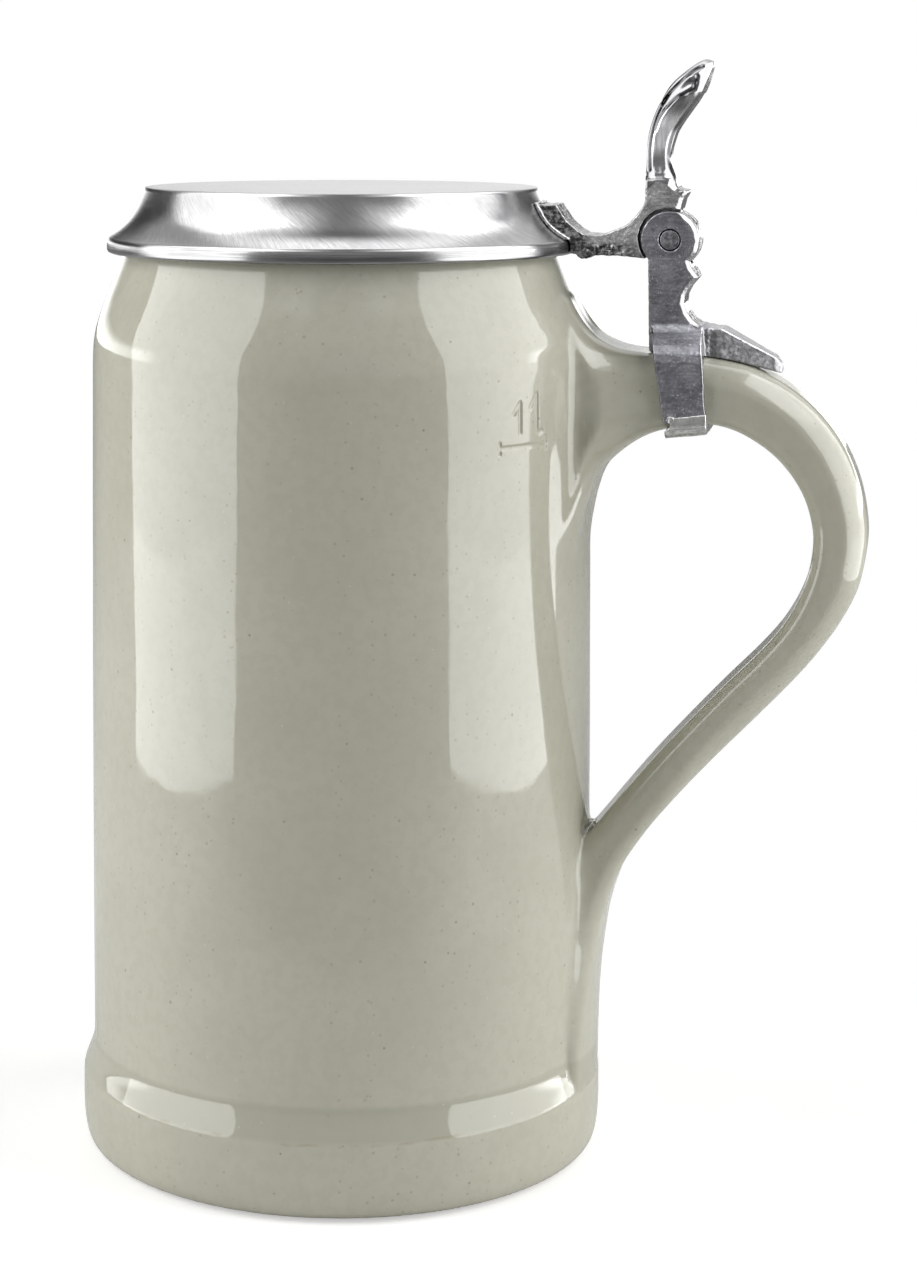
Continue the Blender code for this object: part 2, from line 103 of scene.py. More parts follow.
class Lattice:
    """Smooth value noise in -1..1 on a seeded lattice."""

    def __init__(self, seed, n=32):
        self.n = n
        self.v = np.random.RandomState(seed).uniform(-1, 1, (n, n, n)).astype(np.float32)

    def __call__(self, x, y, z, size):
        n = self.n
        parts = []
        for c in (x, y, z):
            g = np.asarray(c, np.float64) / size + 512.37
            i = np.floor(g).astype(np.int64)
            f = (g - i)
            parts.append((i % n, (i + 1) % n, f * f * (3 - 2 * f)))
        (x0, x1, fx), (y0, y1, fy), (z0, z1, fz) = parts
        v = self.v
        c00 = v[x0, y0, z0] * (1 - fx) + v[x1, y0, z0] * fx
        c10 = v[x0, y1, z0] * (1 - fx) + v[x1, y1, z0] * fx
        c01 = v[x0, y0, z1] * (1 - fx) + v[x1, y0, z1] * fx
        c11 = v[x0, y1, z1] * (1 - fx) + v[x1, y1, z1] * fx
        return (c00 * (1 - fy) + c10 * fy) * (1 - fz) + (c01 * (1 - fy) + c11 * fy) * fz


noise_a, noise_b, noise_c = Lattice(11), Lattice(23), Lattice(37)


def polyline_distance(points, x, z, closed=False):
    """Distance from each (x, z) to a polyline, and the sign for a closed one."""
    pts = np.asarray(points, np.float64)
    shape = np.broadcast(x, z).shape
    px = np.broadcast_to(x, shape).reshape(-1).astype(np.float64)
    pz = np.broadcast_to(z, shape).reshape(-1).astype(np.float64)
    a = pts if closed else pts[:-1]
    b = np.roll(pts, -1, axis=0) if closed else pts[1:]
    best = np.full(px.shape, 1e18)
    inside = np.zeros(px.shape, bool)
    for (ax, az), (bx, bz) in zip(a, b):
        ex, ez = bx - ax, bz - az
        ll = ex * ex + ez * ez
        if ll < 1e-14:
            continue
        wx, wz = px - ax, pz - az
        t = np.clip((wx * ex + wz * ez) / ll, 0.0, 1.0)
        d = (wx - t * ex) ** 2 + (wz - t * ez) ** 2
        np.minimum(best, d, out=best)
        if closed:
            crosses = (az <= pz) != (bz <= pz)
            side = ex * wz - ez * wx
            inside ^= crosses & ((side > 0) == (bz > az))
    d = np.sqrt(best)
    if closed:
        d = np.where(inside, -d, d)
    return d.reshape(shape)


def blur2(a, sigma):
    """Gaussian blur of a 2-D table; sigma in cells."""
    if sigma <= 0:
        return a
    n = max(1, int(math.ceil(3 * sigma)))
    k = np.exp(-0.5 * (np.arange(-n, n + 1) / sigma) ** 2)
    k /= k.sum()
    p = np.pad(a, n, mode="edge")
    q = sum(w * p[i:i + a.shape[0], :] for i, w in enumerate(k))
    return sum(w * q[:, i:i + a.shape[1]] for i, w in enumerate(k))


class Table:
    """A 2-D field sampled on a grid and read back with bilinear interpolation."""

    def __init__(self, lo, hi, step, make, blur=0.0):
        self.lo, self.step = lo, step
        nx = int(math.ceil((hi[0] - lo[0]) / step)) + 1
        nz = int(math.ceil((hi[1] - lo[1]) / step)) + 1
        xs = lo[0] + step * np.arange(nx)
        zs = lo[1] + step * np.arange(nz)
        self.a = blur2(make(xs[:, None], zs[None, :]), blur / step)

    def __call__(self, x, z):
        nx, nz = self.a.shape
        gx = np.clip((x - self.lo[0]) / self.step, 0, nx - 1.001)
        gz = np.clip((z - self.lo[1]) / self.step, 0, nz - 1.001)
        i, j = gx.astype(np.int64), gz.astype(np.int64)
        u, v = gx - i, gz - j
        a = self.a
        return ((a[i, j] * (1 - u) + a[i + 1, j] * u) * (1 - v)
                + (a[i, j + 1] * (1 - u) + a[i + 1, j + 1] * u) * v)


def outline_table(points, step=0.1, pad=4.0, blur=0.0):
    p = np.asarray(points)
    lo, hi = p.min(axis=0) - pad, p.max(axis=0) + pad
    return Table(lo, hi, step, lambda x, z: polyline_distance(points, x, z, True), blur)


# ------------------------------------------------- surface of a solid's field
def untangle(values):
    """Close diagonal gaps of the grid, so that no edge of the mesh joins four faces."""
    for _ in range(8):
        found = 0
        for axis in range(3):
            u, v = [i for i in range(3) if i != axis]
            eu, ev = np.zeros(3, int), np.zeros(3, int)
            eu[u], ev[v] = 1, 1
            part = []
            for shift in (0 * eu, eu + ev, eu, ev):
                cut = [slice(None)] * 3
                for i in (u, v):
                    cut[i] = slice(shift[i], values.shape[i] - 1 + shift[i])
                part.append(values[tuple(cut)] < 0)
            a, b, c, d = part
            spots = np.argwhere((a == b) & (c == d) & (a != c))
            if not len(spots):
                continue
            found += len(spots)
            full = a[tuple(spots.T)][:, None]
            p = np.where(full, spots + eu, spots)
            q = np.where(full, spots + ev, spots + eu + ev)
            nearer = (values[tuple(p.T)] < values[tuple(q.T)])[:, None]
            values[tuple(np.where(nearer, p, q).T)] = -0.02
        if not found:
            break


def main_shells(verts, quads):
    """Drop the specks that a thin place of a field leaves beside the real shells."""
    label = np.arange(len(verts))
    while True:
        new = label.copy()
        np.minimum.at(new, quads.reshape(-1), np.repeat(label[quads].min(axis=1), 4))
        new = new[new]
        if np.array_equal(new, label):
            break
        label = new
    owner = label[quads[:, 0]]
    shells, sizes = np.unique(owner, return_counts=True)
    quads = quads[np.isin(owner, shells[sizes > 0.05 * sizes.max()])]
    used = np.unique(quads)
    index = np.full(len(verts), -1, np.int64)
    index[used] = np.arange(len(used))
    return verts[used], index[quads]


def surface_net(field, lo, hi, step):
    """Closed quad mesh of the surface where field(x, y, z) is zero."""
    counts = [int(math.ceil((hi[i] - lo[i]) / step)) + 1 for i in range(3)]
    ax = [lo[i] + step * np.arange(counts[i]) for i in range(3)]
    values = np.empty(counts, np.float32)
    slab = max(1, int(1.5e6 / (counts[1] * counts[2])))
    for i in range(0, counts[0], slab):
        x = ax[0][i:i + slab]
        gx, gy, gz = np.meshgrid(x, ax[1], ax[2], indexing="ij")
        values[i:i + slab] = field(gx, gy, gz)
    untangle(values)
    inside = values < 0
    n = [c - 1 for c in counts]
    total = np.zeros(n, np.uint8)
    corners = [(i, j, k) for i in (0, 1) for j in (0, 1) for k in (0, 1)]
    for i, j, k in corners:
        total += inside[i:i + n[0], j:j + n[1], k:k + n[2]]
    cells = np.argwhere((total > 0) & (total < 8))
    index = np.full(n, -1, np.int32)
    index[tuple(cells.T)] = np.arange(len(cells), dtype=np.int32)
    acc = np.zeros((len(cells), 3))
    num = np.zeros(len(cells))
    for a in corners:
        for axis in range(3):
            if a[axis]:
                continue
            b = list(a)
            b[axis] = 1
            va = values[tuple((cells + a).T)].astype(np.float64)
            vb = values[tuple((cells + b).T)].astype(np.float64)
            cross = (va < 0) != (vb < 0)
            t = va[cross] / (va[cross] - vb[cross])
            p = np.tile(np.asarray(a, np.float64), (cross.sum(), 1))
            p[:, axis] = t
            acc[cross] += p
            num[cross] += 1
    verts = np.asarray(lo) + (cells + acc / num[:, None]) * step
    quads = []
    for axis in range(3):
        u, v = (axis + 1) % 3, (axis + 2) % 3
        low = [slice(None)] * 3
        high = [slice(None)] * 3
        low[axis], high[axis] = slice(0, -1), slice(1, None)
        s0, s1 = inside[tuple(low)], inside[tuple(high)]
        e = np.argwhere(s0 != s1)
        e = e[(e[:, u] >= 1) & (e[:, v] >= 1) & (e[:, u] <= n[u] - 1) & (e[:, v] <= n[v] - 1)]
        du, dv = np.zeros(3, int), np.zeros(3, int)
        du[u], dv[v] = 1, 1
        q = np.stack([index[tuple((e - du - dv).T)], index[tuple((e - dv).T)],
                      index[tuple(e.T)], index[tuple((e - du).T)]], axis=1)
        outward = s0[tuple(e.T)]
        q[~outward] = q[~outward][:, ::-1]
        quads.append(q)
    quads = np.concatenate(quads)
    return main_shells(verts, quads[(quads >= 0).all(axis=1)])


def slope(field, p, h):
    g = np.empty_like(p)
    for i in range(3):
        a, b = p.copy(), p.copy()
        a[:, i] += h
        b[:, i] -= h
        g[:, i] = (field(*a.T) - field(*b.T)) / (2 * h)
    return g


def settle(field, p, step, rounds=3, h=None):
    """Move points onto the surface and return them with their normals."""
    h = h or 0.3 * step
    for _ in range(rounds):
        g = slope(field, p, h)
        gg = np.maximum((g * g).sum(axis=1), 1e-3)
        move = -(field(*p.T) / gg)[:, None] * g
        length = np.sqrt((move * move).sum(axis=1))
        p = p + move * np.minimum(1.0, 0.6 * step / np.maximum(length, 1e-9))[:, None]
    g = slope(field, p, h)
    return p, g / np.maximum(np.sqrt((g * g).sum(axis=1)), 1e-9)[:, None]


def mesh_object(name, verts, faces, normals=None, attributes=None):
    mesh = bpy.data.meshes.new(name)
    faces = np.asarray(faces, np.int32)
    sides = faces.shape[1]
    mesh.vertices.add(len(verts))
    mesh.vertices.foreach_set("co", (np.asarray(verts) * MM).astype(np.float32).reshape(-1))
    mesh.loops.add(faces.size)
    mesh.loops.foreach_set("vertex_index", faces.reshape(-1))
    mesh.polygons.add(len(faces))
    mesh.polygons.foreach_set("loop_start", np.arange(0, faces.size, sides, dtype=np.int32))
    mesh.update(calc_edges=True)
    mesh.shade_smooth()
    if normals is not None:
        mesh.normals_split_custom_set_from_vertices(np.asarray(normals, np.float32))
    for key, values in (attributes or {}).items():
        layer = mesh.attributes.new(key, "FLOAT", "POINT")
        layer.data.foreach_set("value", np.asarray(values, np.float32))
    obj = bpy.data.objects.new(name, mesh)
    bpy.context.scene.collection.objects.link(obj)
    return obj


def solid(name, field, lo, hi, step, attributes=None, grain=None, h=None):
    """Mesh a field, then push its points out to the grained surface."""
    verts, quads = surface_net(field, lo, hi, step)
    verts, normals = settle(field, verts, step, 2, h)
    if grain:
        verts, normals = settle(lambda x, y, z: field(x, y, z) + grain(x, y, z), verts, step, 1, h)
    found = {k: f(*verts.T) for k, f in (attributes or {}).items()}
    return mesh_object(name, verts, quads, normals, found)


# ------------------------------------------------------------------ the mug
def mug_outline():
    """Fine profile of the wall, underside, rim and inside, as (radius, height)."""
    outer = [(50.2, 0.0), (52.3, 0.4), (53.55, 1.4), (54.25, 3.0), (54.75, 5.6), (54.95, 9.0),
             (54.95, 12.0), (54.95, 14.4), (54.84, 15.5), (54.5, 16.5), (54.05, 17.7),
             (53.55, 19.0), (53.12, 20.3), (52.86, 21.3), (52.8, 22.4)]
    upper = [(52.78, 24.0), (52.85, 34.0), (53.0, 60.0), (53.15, 90.0), (53.2, 120.0),
             (53.2, 150.0), (53.2, 162.0), (53.15, 166.0), (52.9, 169.5), (52.1, 173.0),
             (50.7, 177.0), (49.0, 181.3), (47.5, 185.2), (46.3, 188.6)]
    inner = [(41.1, 188.4), (42.0, 185.0), (43.6, 181.0), (45.4, 176.5), (46.9, 171.5),
             (47.6, 165.0), (47.6, 150.0), (47.6, 110.0), (47.3, 60.0), (47.1, 22.0)]
    pts = [(-8.0, 0.0), (0.0, 0.0)] + smooth_path(outer, 6) + smooth_path(upper, 6)
    pts += arc(43.6, 190.0, 2.6, 0, 180, 24)
    pts += smooth_path(inner, 6)
    pts += arc(39.1, 17.0, 8.0, 0, -90, 16)
    pts += [(0.0, 9.0), (-8.0, 9.0)]
    return pts


HANDLE = [
    (49.8, 178.0, 49.8, 131.0, 21.0, 16.0, 0.0),
    (51.5, 175.4, 51.8, 133.4, 19.3, 15.0, 0.0),
    (53.6, 172.8, 54.0, 137.6, 17.4, 12.5, 0.0),
    (56.4, 170.3, 56.9, 143.0, 15.2, 9.5, 0.0),
    (60.5, 168.5, 61.2, 147.3, 13.1, 6.8, 0.0),
    (66.0, 167.7, 66.5, 150.7, 11.5, 4.6, 0.0),
    (72.3, 167.4, 72.7, 152.5, 11.0, 3.7, 0.0),
    (80.7, 166.6, 79.2, 153.1, 11.0, 3.6, 0.0),
    (88.8, 164.5, 84.1, 152.0, 10.9, 3.6, 0.0),
    (95.8, 160.7, 88.4, 149.8, 10.8, 3.6, 0.0),
    (101.8, 155.5, 92.5, 146.7, 10.7, 3.6, 0.0),
    (106.5, 149.1, 96.0, 142.6, 10.6, 3.6, 0.0),
    (109.7, 141.6, 98.6, 137.8, 10.5, 3.6, 0.0),
    (111.2, 133.5, 100.0, 132.4, 10.4, 3.5, 0.0),
    (111.0, 127.4, 100.1, 128.2, 10.3, 3.4, 0.0),
    (109.3, 119.8, 99.2, 123.2, 10.2, 3.3, 0.0),
    (105.7, 112.7, 97.1, 117.5, 10.1, 3.2, 0.0),
    (100.9, 105.9, 93.6, 111.6, 9.9, 3.2, 0.0),
    (95.5, 99.7, 88.7, 105.9, 9.8, 3.2, 0.0),
    (88.5, 92.4, 81.8, 99.0, 9.6, 3.2, 0.0),
    (81.4, 85.2, 74.8, 91.7, 9.5, 3.2, 0.0),
    (74.4, 78.0, 67.7, 84.0, 9.4, 3.2, 0.0),
    (68.9, 71.8, 62.1, 77.4, 9.4, 3.2, 0.1),
    (65.1, 66.9, 57.9, 72.2, 9.5, 3.2, 0.2),
    (61.5, 61.4, 53.6, 66.6, 9.8, 3.2, 0.4),
    (59.2, 56.0, 50.8, 60.0, 10.2, 3.4, 0.6),
    (57.6, 50.4, 49.3, 53.0, 10.9, 3.4, 0.9),
    (56.5, 44.0, 49.0, 45.4, 11.8, 3.4, 1.0),
    (55.6, 36.5, 49.0, 37.2, 13.4, 3.0, 1.0),
    (55.1, 28.0, 49.2, 28.2, 15.0, 2.6, 1.0),
    (54.8, 17.0, 49.4, 17.0, 16.0, 2.2, 1.0),
    (54.6, 9.0, 49.4, 9.0, 16.0, 2.2, 1.0),
]

body_table = Table((-2.0, -3.0), (58.0, 196.0), 0.2,
                   lambda r, z: polyline_distance(mug_outline(), r, z, True), 0.22)
handle_path = np.array(smooth_path(HANDLE, 8))
handle_side = Table((44.0, 6.0), (116.0, 184.0), 0.15, lambda x, z: polyline_distance(
    list(map(tuple, handle_path[:, 0:2])) + list(map(tuple, handle_path[::-1, 2:4])),
    x, z, True), 0.50)
# middle line of the handle, used to look up its width and corner radius
mid = np.stack([0.5 * (handle_path[:, 0] + handle_path[:, 2]),
                0.5 * (handle_path[:, 1] + handle_path[:, 3])], axis=1)


def along_handle(column):
    def make(x, z):
        shape = np.broadcast(x, z).shape
        px = np.broadcast_to(x, shape).reshape(-1, 1)
        pz = np.broadcast_to(z, shape).reshape(-1, 1)
        out = np.empty(px.shape[0])
        for i in range(0, len(out), 20000):
            d = (px[i:i + 20000] - mid[:, 0]) ** 2 + (pz[i:i + 20000] - mid[:, 1]) ** 2
            w = 1.0 / (d + 6.0) ** 3
            out[i:i + 20000] = (w * handle_path[:, column]).sum(axis=1) / w.sum(axis=1)
        return out.reshape(shape)
    return make


handle_out, handle_in = (Table((44.0, 6.0), (116.0, 184.0), 0.5, lambda x, z, c=c: polyline_distance(
    list(map(tuple, handle_path[:, c:c + 2])), x, z), 1.2) for c in (0, 2))
handle_w = Table((44.0, 6.0), (116.0, 184.0), 1.0, along_handle(4), 1.2)
handle_c = Table((44.0, 6.0), (116.0, 184.0), 1.0, along_handle(5), 1.2)
wrap_z = np.array([(9, 1.0), (45, 1.0), (52, 0.85), (58, 0.55), (64, 0.3), (70, 0.12), (78, 0.0), (200, 0.0)])


def handle_field(x, y, z):
    ay = np.minimum(np.abs(y), 45.0)
    wrap = np.interp(z, wrap_z[:, 0], wrap_z[:, 1])
    xs = x - wrap * (np.sqrt(WALL_R ** 2 - ay ** 2) - WALL_R)
    w, c = handle_w(xs, z), handle_c(xs, z)
    # the loop's outer corners are rounder than its inner ones
    c = c + 3.2 * ramp(handle_in(xs, z) - handle_out(xs, z), -5.0, 8.0) * ramp(xs, 68.0, 84.0)
    return box2(handle_side(xs, z), np.abs(y) - w, c)


def stroke(u, z, points, half, depth):
    d = polyline_distance(points, u, z)
    return depth * (1.0 - ramp(d, half * 0.45, half * 1.6))


MARK_LINE = [(-38.5, 150.35), (-24.5, 150.5)]
MARK_STROKES = [
    (MARK_LINE, 0.42, 0.34),
    ([(-38.4, 149.3), (-38.4, 151.4)], 0.36, 0.28),
    ([(-24.7, 149.5), (-24.7, 151.9)], 0.36, 0.28),
    ([(-34.6, 157.0), (-32.8, 159.1), (-32.8, 153.3)], 0.46, 0.36),
    ([(-29.6, 158.2), (-27.7, 160.6), (-27.7, 153.6), (-26.9, 152.7), (-26.0, 153.2)], 0.46, 0.36),
]


def mark(x, y, z):
    """Impressed capacity mark below the shoulder, softened by the glaze."""
    u = WALL_R * np.arctan2(y, x)
    out = np.zeros(np.shape(x))
    near = (u > -41.5) & (u < -21.5) & (z > 147.0) & (z < 163.5) & (x * x + y * y > 2500)
    if near.any():
        un, zn = u[near], z[near]
        total = np.zeros(un.shape)
        for points, half, depth in MARK_STROKES:
            total = np.maximum(total, stroke(un, zn, points, half, depth))
        out[near] = total
    return out


def hand_made(x, y, z):
    """Slow unevenness of a thrown and glazed wall, never outside the drawn surface."""
    return 0.10 + 0.055 * noise_a(x, y, z * 0.45, 26.0) + 0.030 * noise_b(x, y, z * 0.7, 11.0)


def mug_plain(x, y, z):
    r = np.sqrt(x * x + y * y)
    body = body_table(r, z)
    near = (x > 40.0) & (np.abs(y) < 30.0)
    out = body.copy() if isinstance(body, np.ndarray) else np.array(body)
    xn, yn, zn = x[near], y[near], z[near]
    hold = handle_field(xn, yn, zn)
    rn = r[near]
    side = ramp(np.abs(yn), 2.0, 12.0)
    low = ramp(zn, 60.0, 110.0)
    high = ramp(zn, 163.0, 174.0)
    k = (2.0 + 5.0 * side * (1.0 - 0.6 * high)) * low + (0.9 + 2.6 * side) * (1.0 - low)
    k = 0.05 + k * ramp(rn, 47.8, 50.0) * (0.1 + 0.9 * ramp(zn, 20.0, 36.0))
    out[near] = blend(body[near], hold, 1.45 * k)
    return out


def mug_field(x, y, z):
    r2 = x * x + y * y
    skin = ramp(np.sqrt(r2), 40.0, 50.0) * ramp(z, 1.5, 6.0)
    return mug_plain(x, y, z) + hand_made(x, y, z) * skin + mark(x, y, z)


def build_mug():
    step = 1.1
    verts, quads = surface_net(lambda x, y, z: mug_plain(x, y, z),
                               (-57.0, -57.0, -2.0), (114.0, 57.0, 195.0), step)
    verts, _ = settle(mug_plain, verts, step, 2, 0.3)
    # finer mesh where the capacity mark is pressed in
    bm = bmesh.new()
    bverts = [bm.verts.new(v) for v in verts.tolist()]
    bm.verts.ensure_lookup_table()
    u = WALL_R * np.arctan2(verts[:, 1], verts[:, 0])
    near = ((u > -42.5) & (u < -20.5) & (verts[:, 2] > 146.0) & (verts[:, 2] < 164.0)
            & (np.hypot(verts[:, 0], verts[:, 1]) > 50.5))
    fine = near[quads].all(axis=1)
    keep, cut = quads[~fine], quads[fine]
    for q in keep.tolist():
        bm.faces.new([bverts[i] for i in q])
    marked = [bm.faces.new([bverts[i] for i in q]) for q in cut.tolist()]
    edges = list({e for f in marked for e in f.edges})
    bmesh.ops.subdivide_edges(bm, edges=edges, cuts=4, use_grid_fill=True)
    bmesh.ops.triangulate(bm, faces=[f for f in bm.faces if len(f.verts) > 4])
    mesh = bpy.data.meshes.new("stoneware_mug_glazed")
    bm.to_mesh(mesh)
    bm.free()
    count = len(mesh.vertices)
    co = np.empty(count * 3, np.float32)
    mesh.vertices.foreach_get("co", co)
    p = co.reshape(-1, 3).astype(np.float64)
    p, _ = settle(mug_field, p, step, 2, 0.25)
    p, normals = settle(mug_field, p, step, 1, 0.2)
    mesh.vertices.foreach_set("co", (p * MM).astype(np.float32).reshape(-1))
    mesh.update()
    mesh.shade_smooth()
    mesh.normals_split_custom_set_from_vertices(normals.astype(np.float32))
    layer = mesh.attributes.new("groove", "FLOAT", "POINT")
    layer.data.foreach_set("value", mark(*p.T).astype(np.float32))
    obj = bpy.data.objects.new("stoneware_mug_glazed", mesh)
    bpy.context.scene.collection.objects.link(obj)
    return obj


# ------------------------------------------------------------------- the lid
def lid_outer(grow=0.0):
    flare = [(42.1, 201.3), (42.31, 200.6), (42.67, 199.5), (43.04, 198.5), (43.50, 197.4),
             (44.03, 196.3), (44.67, 195.2), (45.39, 194.2), (46.42, 193.1), (47.73, 192.0),
             (49.0, 191.15), (49.7, 190.75)]
    return [(r + 0.75 * grow, z + 0.66 * grow) for r, z in flare]


def lid_profile():
    pts = [(0.0, 201.4), (20.0, 201.4), (35.0, 201.4), (40.5, 201.4), (41.6, 201.39),
           (41.95, 201.33), (42.15, 201.18)]
    pts += smooth_path(lid_outer(), 5)[5:]
    pts += [(49.85, 190.62), (49.93, 190.5), (50.03, 190.34), (50.15, 190.05), (50.18, 189.6),
            (50.2, 189.0), (50.18, 188.4), (50.12, 188.05), (49.95, 187.78), (49.6, 187.63),
            (49.0, 187.6), (48.6, 187.62), (48.35, 187.8), (48.25, 188.1)]
    pts += [(48.15, 189.0), (47.8, 189.8), (46.95, 190.9), (45.6, 192.1), (44.6, 193.3),
            (43.8, 194.4), (43.1, 195.7), (42.5, 197.0), (41.9, 198.6), (41.5, 199.5),
            (41.1, 199.95), (40.4, 200.0), (30.0, 200.0), (15.0, 200.0), (0.0, 200.0)]
    return pts


def build_lid(segments=288):
    profile = np.array(lid_profile())
    inner = profile[1:-1]
    a = 2 * np.pi * np.arange(segments) / segments
    wob = 0.035 * np.sin(3 * a + 0.6) + 0.02 * np.sin(7 * a + 2.0) + 0.012 * np.sin(13 * a)
    rings = []
    for r, z in inner:
        soft = ramp(np.array(r), 38.0, 46.0) * 1.0
        rr = r - 0.05 * soft + wob * soft * 0.8
        zz = z + 0.5 * wob * soft * (1.0 if z < 198 else 0.0)
        rings.append(np.stack([rr * np.cos(a), rr * np.sin(a), np.full(segments, z) + (zz - z)], axis=1))
    verts = np.concatenate([np.array([[0, 0, profile[0, 1]]])] + rings
                           + [np.array([[0, 0, profile[-1, 1]]])])
    k = np.arange(segments)
    n = (k + 1) % segments
    quads = []
    for i in range(len(inner) - 1):
        s0, s1 = 1 + i * segments, 1 + (i + 1) * segments
        quads.append(np.stack([s0 + k, s1 + k, s1 + n, s0 + n], axis=1))
    bm = bmesh.new()
    bverts = [bm.verts.new(v) for v in verts.tolist()]
    for q in np.concatenate(quads).tolist():
        bm.faces.new([bverts[i] for i in q])
    last = 1 + (len(inner) - 1) * segments
    for i in range(segments):
        bm.faces.new((bverts[0], bverts[1 + k[i]], bverts[1 + n[i]]))
        bm.faces.new((bverts[-1], bverts[last + n[i]], bverts[last + k[i]]))
    bmesh.ops.recalc_face_normals(bm, faces=bm.faces)
    bmesh.ops.scale(bm, verts=bm.verts, vec=(MM, MM, MM))
    mesh = bpy.data.meshes.new("tin_lid_spun")
    bm.to_mesh(mesh)
    bm.free()
    mesh.shade_smooth()
    mesh.set_sharp_from_angle(angle=math.radians(40))
    obj = bpy.data.objects.new("tin_lid_spun", mesh)
    bpy.context.scene.collection.objects.link(obj)
    return obj


lid_line = [(-10.0, 201.4), (41.9, 201.4)] + smooth_path(lid_outer(), 3) + [
    (50.0, 190.4), (50.2, 190.0), (50.2, 187.6), (48.3, 187.6), (-10.0, 187.6)]
lid_table = Table((36.0, 183.0), (62.0, 206.0), 0.1,
                  lambda r, z: polyline_distance(lid_line, r, z, True))


def lid_solid(x, y, z):
    return lid_table(np.sqrt(x * x + y * y), z)


# ----------------------------------------------------------------- hinge arm
ARM = [(41.0, 199.0), (44.4, 198.05), (47.2, 198.1), (48.4, 196.2), (49.3, 194.8), (50.4, 193.8),
       (51.6, 192.75), (53.0, 192.0), (54.9, 191.75), (56.1, 191.8), (57.3, 192.1), (59.0, 192.8),
       (61.3, 193.7), (62.5, 194.6), (63.9, 196.1), (65.1, 197.7), (65.6, 198.9), (65.8, 200.5),
       (65.9, 203.4), (71.2, 203.6), (71.3, 202.9), (72.2, 201.9), (73.3, 201.3), (74.3, 201.2),
       (74.3, 200.5), (73.6, 199.3), (72.9, 197.1)]
ARM += arc(PIN_X, PIN_Z, 6.0, 70, -138, 40)
ARM += [(65.5, 187.0), (61.4, 187.45), (57.5, 187.6), (54.9, 187.55), (53.8, 187.0), (52.4, 186.85),
        (51.6, 187.2), (51.2, 187.8), (48.0, 188.0), (43.0, 192.0)]

BLADE_EDGES = [  # outer x, z and rear x, z of the thumblift, with its half width
    (65.75, 200.5, 71.4, 200.4, 5.9),
    (65.55, 203.2, 72.0, 203.0, 5.7),
    (65.65, 207.4, 70.85, 206.9, 4.9),
    (65.75, 210.5, 70.95, 209.6, 4.7),
    (66.3, 213.7, 71.9, 212.9, 4.9),
    (67.4, 217.0, 73.4, 215.5, 5.5),
    (68.9, 220.0, 75.1, 217.9, 6.2),
    (71.1, 223.3, 77.0, 220.7, 7.0),
    (73.8, 225.8, 78.3, 223.4, 7.0),
    (76.3, 227.7, 79.1, 225.7, 5.6),
    (77.6, 228.4, 79.6, 227.0, 4.0),
    (78.5, 228.5, 79.65, 228.0, 2.6),
]
blade_path = np.array(smooth_path(BLADE_EDGES, 24))
blade_outline = (list(map(tuple, blade_path[:, 0:2])) + list(map(tuple, blade_path[::-1, 2:4])))
blade_mid = 0.5 * (blade_path[:, 0:2] + blade_path[:, 2:4])
GROOVE_RIM = [(66.45, 205.5), (66.5, 209.6), (66.84, 212.6), (67.5, 215.3), (68.5, 217.8), (70.4, 221.0),
              (72.9, 223.6), (75.4, 225.8), (77.6, 226.9)]
GROOVE_MID = [(67.6, 213.8), (68.4, 216.1), (69.9, 218.2), (72.0, 220.3), (74.6, 221.7), (75.9, 222.4)]
GROOVE_TIP = [(76.6, 224.9), (76.2, 223.2), (75.9, 222.4)]
GROOVE_REAR = [(77.0, 221.0), (75.5, 219.0), (73.7, 216.7), (71.9, 214.1), (70.75, 211.6), (70.35, 208.8),
               (70.6, 206.4), (71.4, 204.7), (72.9, 202.9)]
TROUGH = [(68.6, 206.6), (68.6, 209.4), (69.1, 212.2), (70.3, 214.8), (72.0, 217.3), (74.3, 219.8)]
ALMOND = [(69.9, 219.3), (71.9, 221.5), (74.2, 223.2), (75.4, 223.8)]


def blade_width(x, z):
    shape = np.broadcast(x, z).shape
    px = np.broadcast_to(x, shape).reshape(-1, 1)
    pz = np.broadcast_to(z, shape).reshape(-1, 1)
    w = 1.0 / ((px - blade_mid[:, 0]) ** 2 + (pz - blade_mid[:, 1]) ** 2 + 0.3) ** 3
    return ((w * blade_path[:, 4]).sum(axis=1) / w.sum(axis=1)).reshape(shape)


B_LO, B_HI = (61.0, 196.0), (84.0, 233.0)
blade_side = Table(B_LO, B_HI, 0.08, lambda x, z: polyline_distance(blade_outline, x, z, True), 0.22)
blade_w = Table(B_LO, B_HI, 0.12, blade_width, 0.6)


def cut(x, z, points, half):
    return np.abs(polyline_distance([tuple(q) for q in smooth_path(points, 6)], x, z)) / half


def blade_grooves(x, z):
    d = 0.50 * np.exp(-cut(x, z, GROOVE_RIM, 0.38) ** 2)
    d = np.maximum(d, 0.48 * np.exp(-cut(x, z, GROOVE_MID, 0.40) ** 2))
    d = np.maximum(d, 0.45 * np.exp(-cut(x, z, GROOVE_TIP, 0.40) ** 2))
    return np.maximum(d, 0.48 * np.exp(-cut(x, z, GROOVE_REAR, 0.38) ** 2))


def blade_carving(x, z):
    trough = 0.55 * np.maximum(0.0, 1.0 - cut(x, z, TROUGH, 1.75) ** 2) ** 1.2
    almond = 0.65 * np.maximum(0.0, 1.0 - cut(x, z, ALMOND, 1.15) ** 2) ** 1.2
    return blade_grooves(x, z) + trough + almond


